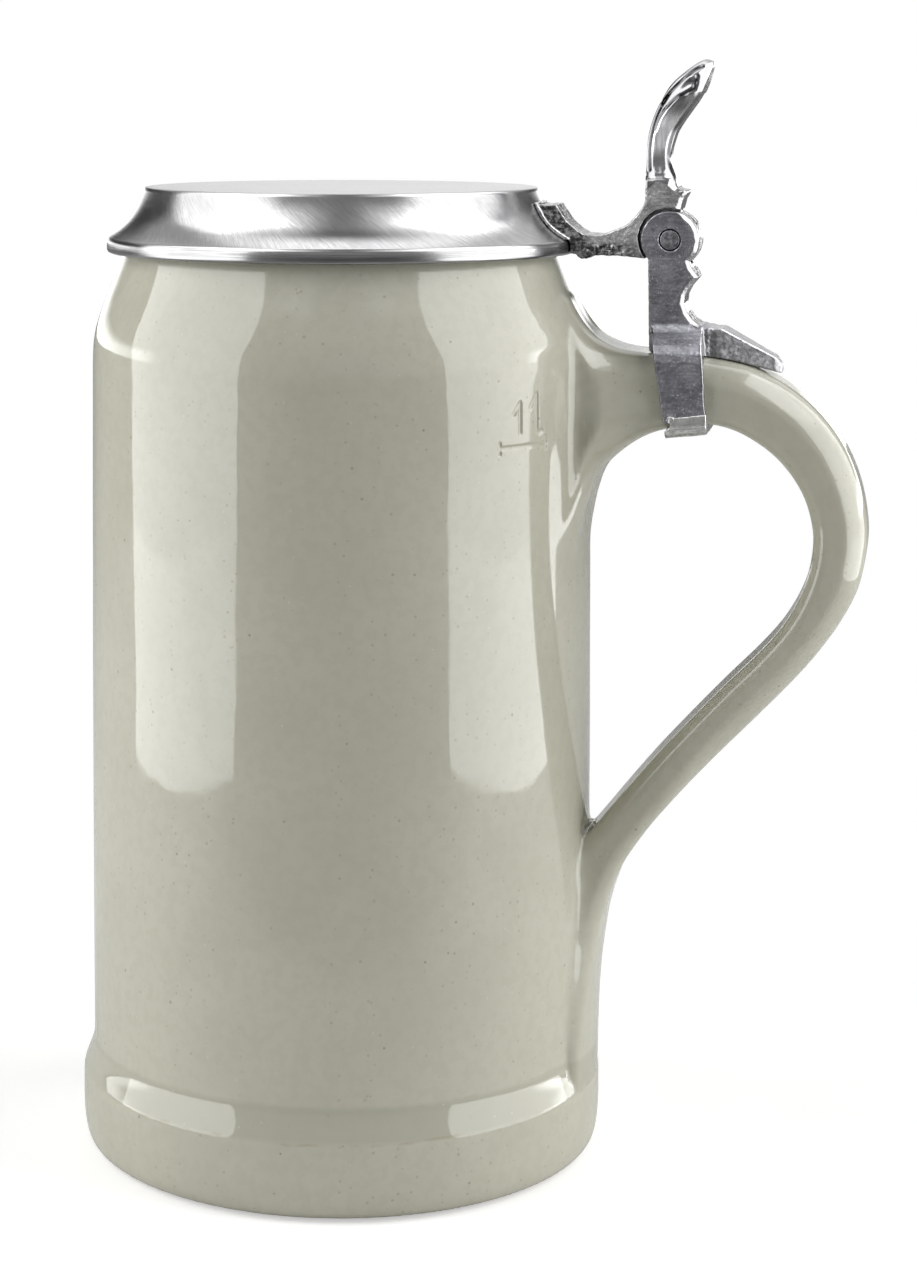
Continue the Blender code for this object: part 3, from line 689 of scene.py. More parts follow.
blade_cut = Table(B_LO, B_HI, 0.08, blade_carving, 0.15)
blade_line = Table(B_LO, B_HI, 0.10, blade_grooves, 0.10)
arm_side = outline_table(ARM, 0.08, 5.0, 0.10)
arm_slope = Table((36.0, 180.0), (84.0, 210.0), 0.3, lambda x, z: np.gradient(
    polyline_distance(ARM, x, z, True), 0.3, axis=0), 0.3)


def polish_line(x, z):
    """Positive above the line where the rough casting gives way to polish."""
    zb = np.interp(x, [60.0, 66.0, 68.1, 72.0, 74.5], [199.6, 201.2, 203.0, 201.9, 201.3])
    return z - zb


def blade_field(x, y, z):
    d = blade_side(x, z)
    w = blade_w(x, z)
    ay = np.abs(y)
    crown = 0.9 * ramp(-d, 0.0, 2.4)
    f = box2(d, ay - (w - 0.9 + crown), 1.25)
    return f + blade_cut(x, z) * ramp(ay, 0.25 * w, 0.7 * w)


def pin_distance(x, z):
    return np.sqrt((x - PIN_X) ** 2 + (z - PIN_Z) ** 2)


def arm_grain(x, y, z):
    rough = ramp(62.5 - x, 0.0, 3.0) * ramp(190.6 - z, 0.0, 1.2) * ramp(x, 52.0, 53.5)
    g = noise_a(x, y, z, 0.5) * 0.055 + noise_b(x, y, z, 1.2) * 0.04
    coarse = noise_c(x, y, z, 0.8) * 0.20 * rough
    polished = ramp(polish_line(x, z), -0.2, 0.5)
    return (g + 0.03 + coarse) * (1.0 - polished)


def arm_core(x, y, z):
    ay = np.abs(y)
    d = arm_side(x, z)
    half = HINGE_HALF - 0.12 - 0.5 * np.exp(-((x - 58.5) / 3.5) ** 2)
    f = box2(d, ay - half, 0.34)
    chamfer = 0.95 * ramp(arm_slope(x, z), 0.15, 0.6) * ramp(x, 66.0, 68.0)
    f = smax(f, (d + ay - half + chamfer) * 0.7071, 0.25)
    f = smin(f, blade_field(x, y, z), 0.9)
    r = pin_distance(x, z)
    around = np.sqrt((x - PIN_X + 0.2) ** 2 + (z - PIN_Z - 0.2) ** 2)
    f = smax(f, -np.maximum(around - 6.42, 2.2 - ay), 0.22)
    return np.maximum(f, -(r - 1.33))


def arm_field(x, y, z):
    return smax(arm_core(x, y, z), -(lid_solid(x, y, z) - 0.16), 0.2)


def rear_edge(side, slope_table, x, y, z, half):
    """1 on the filed chamfer that runs round the rear of a casting."""
    rear = ramp(slope_table(x, z), 0.1, 0.5)
    band = ramp(side(x, z), -1.15, -0.75)
    return rear * band


def arm_polish(x, y, z):
    top = ramp(polish_line(x, z), -0.15, 0.35)
    rear = rear_edge(arm_side, arm_slope, x, y, z, HINGE_HALF) * ramp(x, 70.0, 71.0) * ramp(z, 196.0, 197.0)
    edge = ramp(arm_side(x, z), -0.30, -0.12) * (z > 190.8)
    return np.clip(np.maximum(np.maximum(top, rear), 0.9 * edge), 0, 1)


def blade_hollow_sheen(x, y, z):
    """1 in the hollow down each flank of the thumblift, where the polished colour is painted brighter as a sheen of
    reflected light.
    """
    inside = ramp(blade_side(x, z), -0.7, -1.5) * ramp(z, 207.6, 210.8) * ramp(219.0 - z, 0.0, 4.0)
    return inside * ramp(np.abs(y), 0.4 * blade_w(x, z), 0.8 * blade_w(x, z))


def blade_groove_shade(x, y, z):
    """1 along the carved lines of the thumblift, which are painted near black as shade in the grooves."""
    return ramp(blade_line(x, z), 0.08, 0.36) * ramp(np.abs(y), 0.3 * blade_w(x, z), 0.6 * blade_w(x, z))


def arm_rough_zone(x, y, z):
    tab = ramp(54.5 - x, 0.0, 2.0)
    patch = ramp(61.2 - x, 0.0, 0.4) * ramp(x, 52.5, 53.5) * ramp(190.6 - z, 0.0, 1.0)
    smooth = 0.6 * ramp(x, 61.3, 61.6) * ramp(66.0 - x, 0.0, 0.8) * ramp(190.0 - z, 0.0, 0.4)
    return np.clip(np.maximum(np.maximum(tab * 0.95, patch), smooth), 0, 1)


# ---------------------------------------------------------------- hinge post
POST = arc(PIN_X, PIN_Z, 6.05, 222, -48, 60)
POST += [(75.25, 185.3), (76.7, 183.3), (75.75, 182.1), (74.8, 181.0), (73.95, 179.4), (73.75, 177.8),
         (74.35, 176.0), (75.5, 174.4), (77.2, 173.1), (79.4, 172.75), (79.4, 164.0), (66.5, 164.0),
         (66.3, 186.6)]
post_side = outline_table(POST, 0.08, 6.0, 0.10)
post_slope = Table((60.0, 160.0), (90.0, 202.0), 0.3, lambda x, z: np.gradient(
    polyline_distance(POST, x, z, True), 0.3, axis=0), 0.3)
SADDLE = [(12.85, 152.0), (12.85, 166.2), (12.45, 168.0), (11.3, 169.6), (9.2, 170.9), (7.2, 171.9),
          (6.0, 173.1)]
saddle_section = SADDLE + [(-y, z) for y, z in SADDLE[::-1]]
saddle_table = Table((-18.0, 146.0), (18.0, 178.0), 0.1,
                     lambda y, z: polyline_distance(saddle_section, y, z, True), 0.15)


def saddle_field(x, y, z):
    left = 67.35 - 0.15 * (z - 172.0) - x
    right = x - (77.7 - 0.075 * (z - 172.0)) + 0.25 * np.exp(-((z - 158.0) / 3.0) ** 2)
    foot = 153.5 - z
    ends = smax(np.maximum(left, right), foot, 0.4)
    return box2(saddle_table(y, z), ends, 0.32)


def tongue_field(x, y, z):
    top = np.interp(x, [70, 79.4, 81.6, 92.4, 93.9, 95], [172.75, 172.75, 172.75, 166.9, 165.3, 164.0])
    half = np.interp(x, [70, 76, 81.4, 92.3, 93.9, 95], [5.9, 5.8, 5.5, 3.3, 2.5, 2.0])
    up = (z - top) * 0.89
    across = (np.abs(y) - half) * 0.985
    f = box2(up, across, 0.45)
    f = smax(f, x - 93.8, 0.5)
    bottom = np.interp(x, [76.0, 80.0, 84.0, 88.0, 92.0, 94.0], [161.0, 166.3, 166.0, 165.0, 163.9, 163.3])
    return smax(np.maximum(f, 74.0 - x), (bottom - z) * 0.9, 0.5)


def post_grain(x, y, z):
    g = noise_a(x, y, z, 0.55) * 0.04 + noise_b(x, y, z * 2.0, 1.6) * 0.025
    hammered = noise_c(x * 0.5, y, z, 1.1) * 0.03 * ramp(176.0 - z, 0.0, 4.0)
    return (g + hammered + 0.03) * ramp(pin_distance(x, z), 2.6, 3.4)


def post_field(x, y, z):
    ay = np.abs(y)
    d = post_side(x, z)
    half = HINGE_HALF - 0.02
    f = box2(d, ay - half, 0.32)
    chamfer = 0.85 * ramp(post_slope(x, z), 0.2, 0.6)
    f = smax(f, (d + ay - half + chamfer) * 0.7071, 0.25)
    f = smin(f, saddle_field(x, y, z), 0.7)
    f = smin(f, tongue_field(x, y, z), 0.8)
    hold = handle_field(x, y, z) - 0.10
    f = smax(f, -hold, 0.2)
    r = pin_distance(x, z)
    slot = np.maximum(r - 6.42, ay - 2.5)
    f = smax(f, -slot, 0.22)
    f = np.maximum(f, -(r - 1.33))
    seat = np.maximum(r - 2.3, 4.4 - ay)
    f = smax(f, -seat, 0.15)
    return f


def post_polish(x, y, z):
    edge = rear_edge(post_side, post_slope, x, y, z, HINGE_HALF) * ramp(z, 172.0, 173.5)
    ridge = ramp(tongue_field(x, y, z), -0.1, 0.1) * ramp(np.interp(
        x, [70, 81.6, 92.4, 93.9], [172.75, 172.75, 166.9, 165.3]) - z, 0.9, 0.15) * ramp(x, 79.0, 80.5)
    strap = ramp(x - (77.7 - 0.075 * (z - 172.0)), -0.75, -0.35) * ramp(172.5 - z, 0.0, 1.0) * (x < 80.5)
    return np.clip(np.maximum(np.maximum(edge, ridge), 0.75 * strap), 0, 1)


def tongue_zone(x, y, z):
    return ramp(x, 78.6, 79.8) * ramp(174.0 - z, 0.0, 0.5)


# ------------------------------------------------------------- closing strip
STRIP = [(12.95, 154.0), (12.95, 155.4), (14.25, 155.4), (14.3, 153.4)]
STRIP += arc(12.0, 153.3, 2.3, 0, -90, 10)
STRIP += [(-y, z) for y, z in STRIP[::-1]]
strip_table = Table((-18.0, 147.0), (18.0, 160.0), 0.08,
                    lambda y, z: polyline_distance(
                        [(p if abs(p[0]) > 0 else p) for p in STRIP], y, z, True), 0.10)


def strip_field(x, y, z):
    zz = z - 0.11 * (x - 75.0)
    f = strip_table(y, zz)
    left = 70.45 + 1.05 * ramp(zz, 152.6, 153.6) - x
    right = x - 79.05
    f = box2(f, np.maximum(left, right), 0.28)
    f = smax(f, -(handle_field(x, y, z) - 0.10), 0.15)
    prong = np.maximum(np.abs(np.abs(y) - 12.1) - 0.95, 153.3 - z)
    f = smax(f, -np.maximum(prong, saddle_field(x, y, z) - 0.2), 0.12)
    blob = np.sqrt((x - 71.6) ** 2 + (np.abs(y) - 14.0) ** 2 + (z - 154.6) ** 2) - 0.75
    f = smin(f, np.maximum(blob, np.abs(y) - 14.28), 0.5)
    crease = 0.10 * np.exp(-((zz - 153.25) / 0.22) ** 2) * (np.abs(y) > 12.0)
    return f + crease


def strip_grain(x, y, z):
    return noise_a(x, y, z, 0.8) * 0.035 + noise_b(x, y, z, 2.2) * 0.05 + 0.05


# -------------------------------------------------------------- pins, solder
def plug_field(sign):
    def field(x, y, z):
        r = pin_distance(x, z)
        y = y * sign
        dome = 5.95 - 0.035 * r * r
        f = box2(r - 2.08, np.maximum(y - dome, 4.65 - y), 0.22)
        dent = 0.10 * np.exp(-((x - PIN_X + 0.3) ** 2 + (z - PIN_Z - 0.2) ** 2) / 0.7)
        return f + dent * (y > 5.2) + 0.02 * noise_a(x, y, z, 0.5)
    return field


def bead_field(x, y, z):
    lid = lid_solid(x, y, z)
    lump = 0.22 * noise_b(x, y, z, 1.9) + 0.10 * noise_c(x, y, z, 0.8)
    skin = np.maximum(lid - (0.78 + lump), 0.06 - lid)
    width = 7.0 + 0.5 * noise_a(x, y, z, 2.5)
    f = box2(skin, np.maximum(np.abs(y) - width, np.maximum(z - 198.6 - 0.5 * lump, 190.9 - z)), 0.18)
    f = np.maximum(f, 30.0 - x)
    gap = arm_core(x, y, z) - 0.04
    return np.maximum(f, -gap)


# ------------------------------------------------------------------ materials
class Nodes:
    """Small helper to wire shader nodes."""

    def __init__(self, name):
        self.mat = bpy.data.materials.new(name)
        self.mat.use_nodes = True
        self.tree = self.mat.node_tree
        self.bsdf = self.tree.nodes["Principled BSDF"]
        self.coord = self.add("ShaderNodeTexCoord").outputs["Object"]

    def add(self, kind, **settings):
        node = self.tree.nodes.new(kind)
        for key, value in settings.items():
            setattr(node, key, value)
        return node

    def link(self, a, b):
        self.tree.links.new(a, b)

    def put(self, socket, value):
        if isinstance(value, bpy.types.NodeSocket):
            self.link(value, socket)
        else:
            socket.default_value = value

    def scaled(self, sx, sy, sz, vector=None):
        node = self.add("ShaderNodeMapping")
        node.inputs["Scale"].default_value = (sx, sy, sz)
        self.link(vector or self.coord, node.inputs["Vector"])
        return node.outputs["Vector"]

    def noise(self, scale, detail=2.0, rough=0.5, vector=None, distortion=0.0):
        node = self.add("ShaderNodeTexNoise")
        self.put(node.inputs["Vector"], vector or self.coord)
        node.inputs["Scale"].default_value = scale
        node.inputs["Detail"].default_value = detail
        node.inputs["Roughness"].default_value = rough
        node.inputs["Distortion"].default_value = distortion
        return node.outputs["Fac"]

    def voronoi(self, scale, feature="F1", vector=None):
        node = self.add("ShaderNodeTexVoronoi", feature=feature)
        self.put(node.inputs["Vector"], vector or self.coord)
        node.inputs["Scale"].default_value = scale
        return node

    def math(self, operation, a, b=0.0, c=0.0, clamp=False):
        node = self.add("ShaderNodeMath", operation=operation, use_clamp=clamp)
        for i, value in enumerate((a, b, c)):
            self.put(node.inputs[i], value)
        return node.outputs[0]

    def span(self, value, lo, hi, to_lo=0.0, to_hi=1.0):
        node = self.add("ShaderNodeMapRange", interpolation_type="SMOOTHSTEP")
        self.put(node.inputs["Value"], value)
        node.inputs["From Min"].default_value = lo
        node.inputs["From Max"].default_value = hi
        node.inputs["To Min"].default_value = to_lo
        node.inputs["To Max"].default_value = to_hi
        return node.outputs["Result"]

    def mix(self, factor, a, b):
        node = self.add("ShaderNodeMix", data_type="RGBA")
        self.put(node.inputs[0], factor)
        self.put(node.inputs[6], a if isinstance(a, bpy.types.NodeSocket) else (*a, 1.0))
        self.put(node.inputs[7], b if isinstance(b, bpy.types.NodeSocket) else (*b, 1.0))
        return node.outputs[2]

    def attribute(self, name):
        return self.add("ShaderNodeAttribute", attribute_name=name).outputs["Fac"]

    def xyz(self, vector=None):
        node = self.add("ShaderNodeSeparateXYZ")
        self.link(vector or self.coord, node.inputs[0])
        return node.outputs

    def vec(self, x, y, z):
        node = self.add("ShaderNodeCombineXYZ")
        for i, value in enumerate((x, y, z)):
            self.put(node.inputs[i], value)
        return node.outputs[0]

    def bump(self, height, distance, strength=1.0, normal=None):
        node = self.add("ShaderNodeBump")
        node.inputs["Distance"].default_value = distance
        node.inputs["Strength"].default_value = strength
        self.put(node.inputs["Height"], height)
        if normal is not None:
            self.link(normal, node.inputs["Normal"])
        return node.outputs["Normal"]

    def set(self, **values):
        for key, value in values.items():
            self.put(self.bsdf.inputs[key.replace("_", " ")], value)
        return self.mat


def glaze_material():
    n = Nodes("stoneware_glaze")
    x, y, z = n.xyz()
    base = n.mix(n.span(n.noise(38.0, 4.0, 0.55), 0.35, 0.65), (0.487, 0.481, 0.395), (0.512, 0.505, 0.418))
    base = n.mix(n.span(n.noise(420.0, 3.0, 0.6), 0.42, 0.62, 0.0, 0.35), base, (0.45, 0.44, 0.355))
    # fired specks: sparse brown pinheads and a finer, fainter peppering
    big = n.voronoi(150.0)
    pick = n.xyz(big.outputs["Color"])[0]
    spot = n.math("MULTIPLY", n.span(big.outputs["Distance"], 0.05, 0.03), n.math("GREATER_THAN", pick, 0.80))
    base = n.mix(n.math("MULTIPLY", spot, 0.55), base, (0.20, 0.16, 0.11))
    fine = n.voronoi(620.0)
    pick = n.xyz(fine.outputs["Color"])[1]
    dot = n.math("MULTIPLY", n.span(fine.outputs["Distance"], 0.24, 0.12), n.math("GREATER_THAN", pick, 0.72))
    base = n.mix(n.math("MULTIPLY", dot, n.span(n.noise(55.0, 2.0), 0.3, 0.7, 0.10, 0.38)), base, (0.27, 0.21, 0.13))
    mid = n.voronoi(330.0)
    pick2 = n.xyz(mid.outputs["Color"])[2]
    dark = n.math("MULTIPLY", n.span(mid.outputs["Distance"], 0.13, 0.07), n.math("GREATER_THAN", pick2, 0.80))
    base = n.mix(n.math("MULTIPLY", dark, n.span(n.noise(75.0, 2.0), 0.35, 0.65, 0.12, 0.50)), base, (0.17, 0.16, 0.12))
    # painted shade: the glaze is coloured a shade darker over the foot's slope, standing in for the little light that
    # slope gets from above
    foot_slope_shade = n.math("MULTIPLY", n.span(z, 0.0150, 0.0164), n.span(z, 0.0228, 0.0214))
    base = n.mix(n.math("MULTIPLY", foot_slope_shade, 0.7), base, (0.41, 0.405, 0.325))
    # thin glaze shows the body's warm edge along the creases of the foot band
    for height, width, strength in ((0.01555, 0.0005, 0.45), (0.02205, 0.0004, 0.20)):
        line = n.span(n.math("ABSOLUTE", n.math("SUBTRACT", n.math("ADD", z, n.span(n.noise(140.0), 0.3, 0.7, -0.0003, 0.0003)), height)), width, 0.0)
        base = n.mix(n.math("MULTIPLY", line, n.span(n.noise(300.0, 3.0), 0.42, 0.7, 0.0, strength)), base, (0.36, 0.30, 0.20))
    pale = n.math("MULTIPLY", n.span(fine.outputs["Distance"], 0.15, 0.08), n.math("LESS_THAN", pick, 0.05))
    base = n.mix(n.math("MULTIPLY", pale, 0.35), base, (0.72, 0.71, 0.64))
    # glaze gathers slightly darker in the pressed mark
    base = n.mix(n.math("MULTIPLY", n.attribute("groove"), 1.2, clamp=True), base, (0.40, 0.39, 0.31))
    # bare clay under the foot
    bare = n.span(z, 0.00075, 0.00035)
    base = n.mix(bare, base, (0.55, 0.50, 0.42))
    rough = n.math("ADD", n.span(n.noise(60.0, 3.0), 0.3, 0.7, 0.035, 0.075), n.math("MULTIPLY", bare, 0.75))
    wave = n.bump(n.noise(85.0, 2.0, 0.45), 0.00006)
    pits = n.bump(n.span(n.voronoi(900.0).outputs["Distance"], 0.10, 0.22), 0.000006, 1.0, wave)
    return n.set(Base_Color=base, Roughness=rough, IOR=1.52, Normal=pits)


def lid_material():
    n = Nodes("tin_lid_brushed")
    x, y, z = n.xyz()
    radius = n.math("SQRT", n.math("ADD", n.math("MULTIPLY", x, x), n.math("MULTIPLY", y, y)))
    angle = n.math("ARCTAN2", y, x)
    around = n.math("MULTIPLY", angle, 0.045)
    # slanting sanding marks on the flare, turning marks on the top and band
    slant = n.math("ADD", around, n.math("MULTIPLY", z, 1.1))
    cross = n.math("SUBTRACT", z, n.math("MULTIPLY", around, 0.9))
    sand = n.noise(1.0, 3.0, 0.65, n.vec(n.math("MULTIPLY", slant, 5200.0), n.math("MULTIPLY", cross, 260.0), 0.0))
    sand2 = n.noise(1.0, 2.0, 0.6, n.vec(n.math("MULTIPLY", slant, 1500.0), n.math("MULTIPLY", cross, 90.0), 3.0))
    turn = n.noise(1.0, 3.0, 0.6, n.vec(n.math("MULTIPLY", radius, 5200.0), n.math("MULTIPLY", around, 60.0),
                                         n.math("MULTIPLY", z, 3000.0)))
    flare = n.math("MULTIPLY", n.span(radius, 0.0419, 0.0426), n.span(z, 0.1903, 0.1912))
    marks = n.add("ShaderNodeMix", data_type="FLOAT")
    n.put(marks.inputs[0], flare)
    n.put(marks.inputs[2], turn)
    n.put(marks.inputs[3], n.math("ADD", n.math("MULTIPLY", sand, 0.7), n.math("MULTIPLY", sand2, 0.3)))
    marks = marks.outputs[0]
    cloud = n.noise(70.0, 3.0, 0.6)
    base = n.mix(n.span(cloud, 0.35, 0.7), (0.265, 0.265, 0.267), (0.315, 0.315, 0.315))
    base = n.mix(n.span(marks, 0.35, 0.70, 0.0, 0.55), base, (0.14, 0.14, 0.143))
    rough = n.math("ADD", n.span(cloud, 0.3, 0.7, 0.19, 0.22), n.span(marks, 0.3, 0.8, -0.03, 0.08))
    normal = n.bump(marks, 0.000024, 0.9)
    smudge = n.bump(n.noise(180.0, 2.0), 0.00003, 0.5, normal)
    plate = n.math("MULTIPLY", n.span(radius, 0.0421, 0.0417), n.span(z, 0.2011, 0.2013))
    base = n.mix(n.math("MULTIPLY", plate, 0.8), base, (0.42, 0.42, 0.425))
    rough = n.math("ADD", rough, n.math("MULTIPLY", plate, 0.13))
    return n.set(Base_Color=base, Metallic=1.0, Roughness=rough, Normal=smudge)


def cast_material(name, dark, light, polished, grain=1.0, rough=0.42, extra=None):
    n = Nodes(name)
    x, y, z = n.xyz()
    polish = n.attribute("polish")
    fine = n.noise(2600.0, 4.0, 0.7)
    mid_noise = n.noise(900.0, 3.0, 0.65)
    cloud = n.noise(160.0, 3.0, 0.6)
    base = n.mix(n.span(cloud, 0.35, 0.65), dark, light)
    base = n.mix(n.span(mid_noise, 0.38, 0.66, 0.0, 0.55), base, tuple(0.42 * c for c in dark))
    glint = n.span(fine, 0.58, 0.70)
    base = n.mix(n.math("MULTIPLY", glint, 0.65), base, (0.80, 0.80, 0.82))
    # painted sheen: the thumblift's flank hollows get a polished colour up to 3.6 times brighter, standing in for
    # reflected light
    polished = n.mix(n.attribute("hollow_sheen"), polished, tuple(min(1.0, 3.6 * c) for c in polished))
    # painted shade: the thumblift's carved lines are coloured near black
    polished = n.mix(n.math("MULTIPLY", n.attribute("groove_shade"), 0.85), polished, (0.035, 0.035, 0.038))
    if extra:
        zone = n.attribute("zone")
        base = n.mix(n.math("MULTIPLY", zone, n.span(n.noise(1300.0, 2.0, 0.6), 0.66, 0.42)), base, extra)
    # streaks left by drawing a file over the flat
    streak = n.noise(1.0, 2.0, 0.6, n.vec(n.math("MULTIPLY", x, 260.0), 0.0, n.math("MULTIPLY", z, 2600.0)))
    base = n.mix(n.span(streak, 0.45, 0.75, 0.0, 0.22), base, tuple(min(1.0, 1.7 * c) for c in light))
    base = n.mix(polish, base, polished)
    r = n.math("ADD", rough, n.span(mid_noise, 0.3, 0.7, -0.10, 0.12))
    scratch = n.noise(1.0, 2.0, 0.6, n.vec(n.math("MULTIPLY", x, 1500.0), n.math("MULTIPLY", y, 1500.0),
                                            n.math("MULTIPLY", z, 250.0)))
    shine = n.math("ADD", n.span(scratch, 0.3, 0.7, 0.17, 0.27), n.math("MULTIPLY", n.attribute("hollow_sheen"), 0.16))
    keep = n.math("SUBTRACT", 1.0, polish)
    r = n.math("ADD", n.math("MULTIPLY", r, keep), n.math("MULTIPLY", shine, polish))
    bump = n.add("ShaderNodeBump")
    bump.inputs["Distance"].default_value = 0.00007 * grain
    n.put(bump.inputs["Strength"], n.math("ADD", n.math("MULTIPLY", keep, 0.9), 0.04))
    n.put(bump.inputs["Height"], n.math("ADD", n.math("MULTIPLY", mid_noise, 0.7), n.math("MULTIPLY", fine, 0.5)))
    return n.set(Base_Color=base, Metallic=1.0, Roughness=r, Normal=bump.outputs["Normal"])


def plain_metal(name, dark, light, rough, grain=0.00003):
    n = Nodes(name)
    x, y, z = n.xyz()
    a = n.noise(1100.0, 3.0, 0.6)
    turned = n.noise(1.0, 2.0, 0.5, n.vec(n.math("MULTIPLY", x, 500.0), n.math("MULTIPLY", y, 3500.0),
                                           n.math("MULTIPLY", z, 500.0)))
    base = n.mix(n.span(a, 0.35, 0.68), dark, light)
    base = n.mix(n.span(turned, 0.5, 0.8, 0.0, 0.3), base, tuple(min(1.0, 1.4 * c) for c in light))
    r = n.math("ADD", rough, n.span(a, 0.3, 0.7, -0.08, 0.10))
    return n.set(Base_Color=base, Metallic=1.0, Roughness=r,
                 Normal=n.bump(n.math("ADD", a, n.math("MULTIPLY", turned, 0.5)), grain, 0.8))


# ------------------------------------------------------------------- assembly
def dress(obj, mat, body, slot, *nodes):
    obj.data.materials.clear()
    obj.data.materials.append(mat)
    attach(obj, body)
    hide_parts(*nodes)


dress(build_mug(), glaze_material(), "mug", "stoneware_glaze", "stoneware_mug")
dress(build_lid(), lid_material(), "lid", "tin_lid", "lid_shell")

arm = solid("hinge_arm_cast", arm_field, (42.0, -8.0, 184.5), (81.0, 8.0, 230.0), 0.18,
            {"polish": arm_polish, "zone": arm_rough_zone, "hollow_sheen": blade_hollow_sheen, "groove_shade": blade_groove_shade}, arm_grain, 0.15)
dress(arm, cast_material("tin_cast_arm", (0.27, 0.27, 0.272), (0.50, 0.50, 0.505), (0.25, 0.25, 0.255), 1.5, 0.42,
                         (0.03, 0.03, 0.03)), "lid", "tin_casting_arm", "lid_arm")
post = solid("hinge_post_cast", post_field, (63.0, -14.5, 150.5), (96.0, 14.5, 198.5), 0.23,
             {"polish": post_polish, "zone": tongue_zone}, post_grain)
dress(post, cast_material("tin_cast_post", (0.19, 0.19, 0.21), (0.31, 0.31, 0.34), (0.25, 0.25, 0.255), 1.0, 0.42,
                          (0.38, 0.38, 0.39)), "mug", "tin_casting_post", "hinge_post")
strip = solid("closing_strip_cast", strip_field, (69.0, -15.5, 149.0), (81.0, 15.5, 157.0), 0.2,
              {"polish": lambda x, y, z: 0.35 * ramp(z, 153.2, 153.8) * (np.abs(y) > 13.0)}, strip_grain)
dress(strip, cast_material("tin_cast_strip", (0.44, 0.44, 0.43), (0.64, 0.64, 0.63), (0.50, 0.50, 0.49), 0.7, 0.38),
      "mug", "tin_strip", "clamp_bridge")
for side, sign in (("front", -1), ("back", 1)):
    lo, hi = sorted((sign * 4.2, sign * 6.6))
    plug = solid(f"hinge_plug_{side}", plug_field(sign), (68.0, lo, 188.2), (73.6, hi, 193.8), 0.14)
    dress(plug, plain_metal(f"plug_tin_{side}", (0.14, 0.14, 0.15), (0.25, 0.25, 0.27), 0.40), "mug", "tin_plug",
          f"pin_plug_{side}")
bead = solid("solder_bead_run", bead_field, (40.0, -8.6, 189.5), (52.0, 8.6, 200.5), 0.2)
dress(bead, plain_metal("solder_bright", (0.50, 0.50, 0.51), (0.74, 0.74, 0.75), 0.26), "lid", "tin_solder",
      "tab_solder_bead")

pin_node = bpy.data.objects["hinge_pin"]
pin_mat = plain_metal("pin_steel_drawn", (0.42, 0.42, 0.44), (0.60, 0.60, 0.62), 0.28, 0.00001)
if pin_node.data.materials:
    for i in range(len(pin_node.data.materials)):
        pin_node.data.materials[i] = pin_mat
else:
    pin_node.data.materials.append(pin_mat)


# --------------------------------------------------------------------- stage
AZ = math.radians(12.0)
RIGHT = Vector((math.cos(AZ), math.sin(AZ), 0.0))
AWAY = Vector((-math.sin(AZ), math.cos(AZ), 0.0))


def stage_floor():
    bm = bmesh.new()
    rings, count = [0.0, 0.3, 0.8, 2.0, 5.0], 64
    last = [bm.verts.new((0, 0, -0.0003))]
    for r in rings[1:]:
        ring = [bm.verts.new((r * math.cos(2 * math.pi * k / count), r * math.sin(2 * math.pi * k / count), -0.0003))
                for k in range(count)]
        for k in range(count):
            n = (k + 1) % count
            if len(last) == 1:
                bm.faces.new((last[0], ring[k], ring[n]))
            else:
                bm.faces.new((last[k], ring[k], ring[n], last[n]))
        last = ring
    mesh = bpy.data.meshes.new("studio_floor")
    bm.to_mesh(mesh)
    bm.free()
    obj = bpy.data.objects.new("studio_floor", mesh)
    bpy.context.scene.collection.objects.link(obj)
    n = Nodes("floor_paper")
    base = n.mix(n.span(n.noise(40.0, 3.0), 0.3, 0.7), (0.73, 0.73, 0.73), (0.76, 0.76, 0.76))
    n.set(Base_Color=base, Roughness=0.9)
    # a white table top: bright near the object, falling away in front of it for reflections
    tree, out = n.tree, n.tree.nodes["Material Output"]
    path = n.add("ShaderNodeLightPath")
    x, y, z = n.xyz()
    front = n.math("SUBTRACT", n.math("MULTIPLY", x, math.sin(AZ)), n.math("MULTIPLY", y, math.cos(AZ)))
    dark = n.math("MULTIPLY", n.span(front, 0.18, 0.24), path.outputs["Is Glossy Ray"])
    shade = n.add("ShaderNodeBsdfDiffuse")
    shade.inputs["Color"].default_value = (0.42, 0.42, 0.42, 1)
    mixed = n.add("ShaderNodeMixShader")
    n.link(dark, mixed.inputs[0])
    n.link(n.bsdf.outputs[0], mixed.inputs[1])
    n.link(shade.outputs[0], mixed.inputs[2])
    glow = n.add("ShaderNodeEmission")
    glow.inputs["Color"].default_value = (1, 1, 1, 1)
    glow.inputs["Strength"].default_value = FLOOR_GLOW
    lit = n.add("ShaderNodeAddShader")
    n.link(mixed.outputs[0], lit.inputs[0])
    n.link(glow.outputs[0], lit.inputs[1])
    away = n.math("SQRT", n.math("ADD", n.math("MULTIPLY", x, x), n.math("MULTIPLY", y, y)))
    paper = n.add("ShaderNodeEmission")
    paper.inputs["Color"].default_value = (1, 1, 1, 1)
    both = n.add("ShaderNodeMixShader")
    n.link(n.span(away, 0.060, 0.20), both.inputs[0])
    n.link(lit.outputs[0], both.inputs[1])
    n.link(paper.outputs[0], both.inputs[2])
    seen = n.add("ShaderNodeMixShader")
    n.link(path.outputs["Is Camera Ray"], seen.inputs[0])
    n.link(mixed.outputs[0], seen.inputs[1])
    n.link(both.outputs[0], seen.inputs[2])
    n.link(seen.outputs[0], out.inputs["Surface"])
    mesh.materials.append(n.mat)


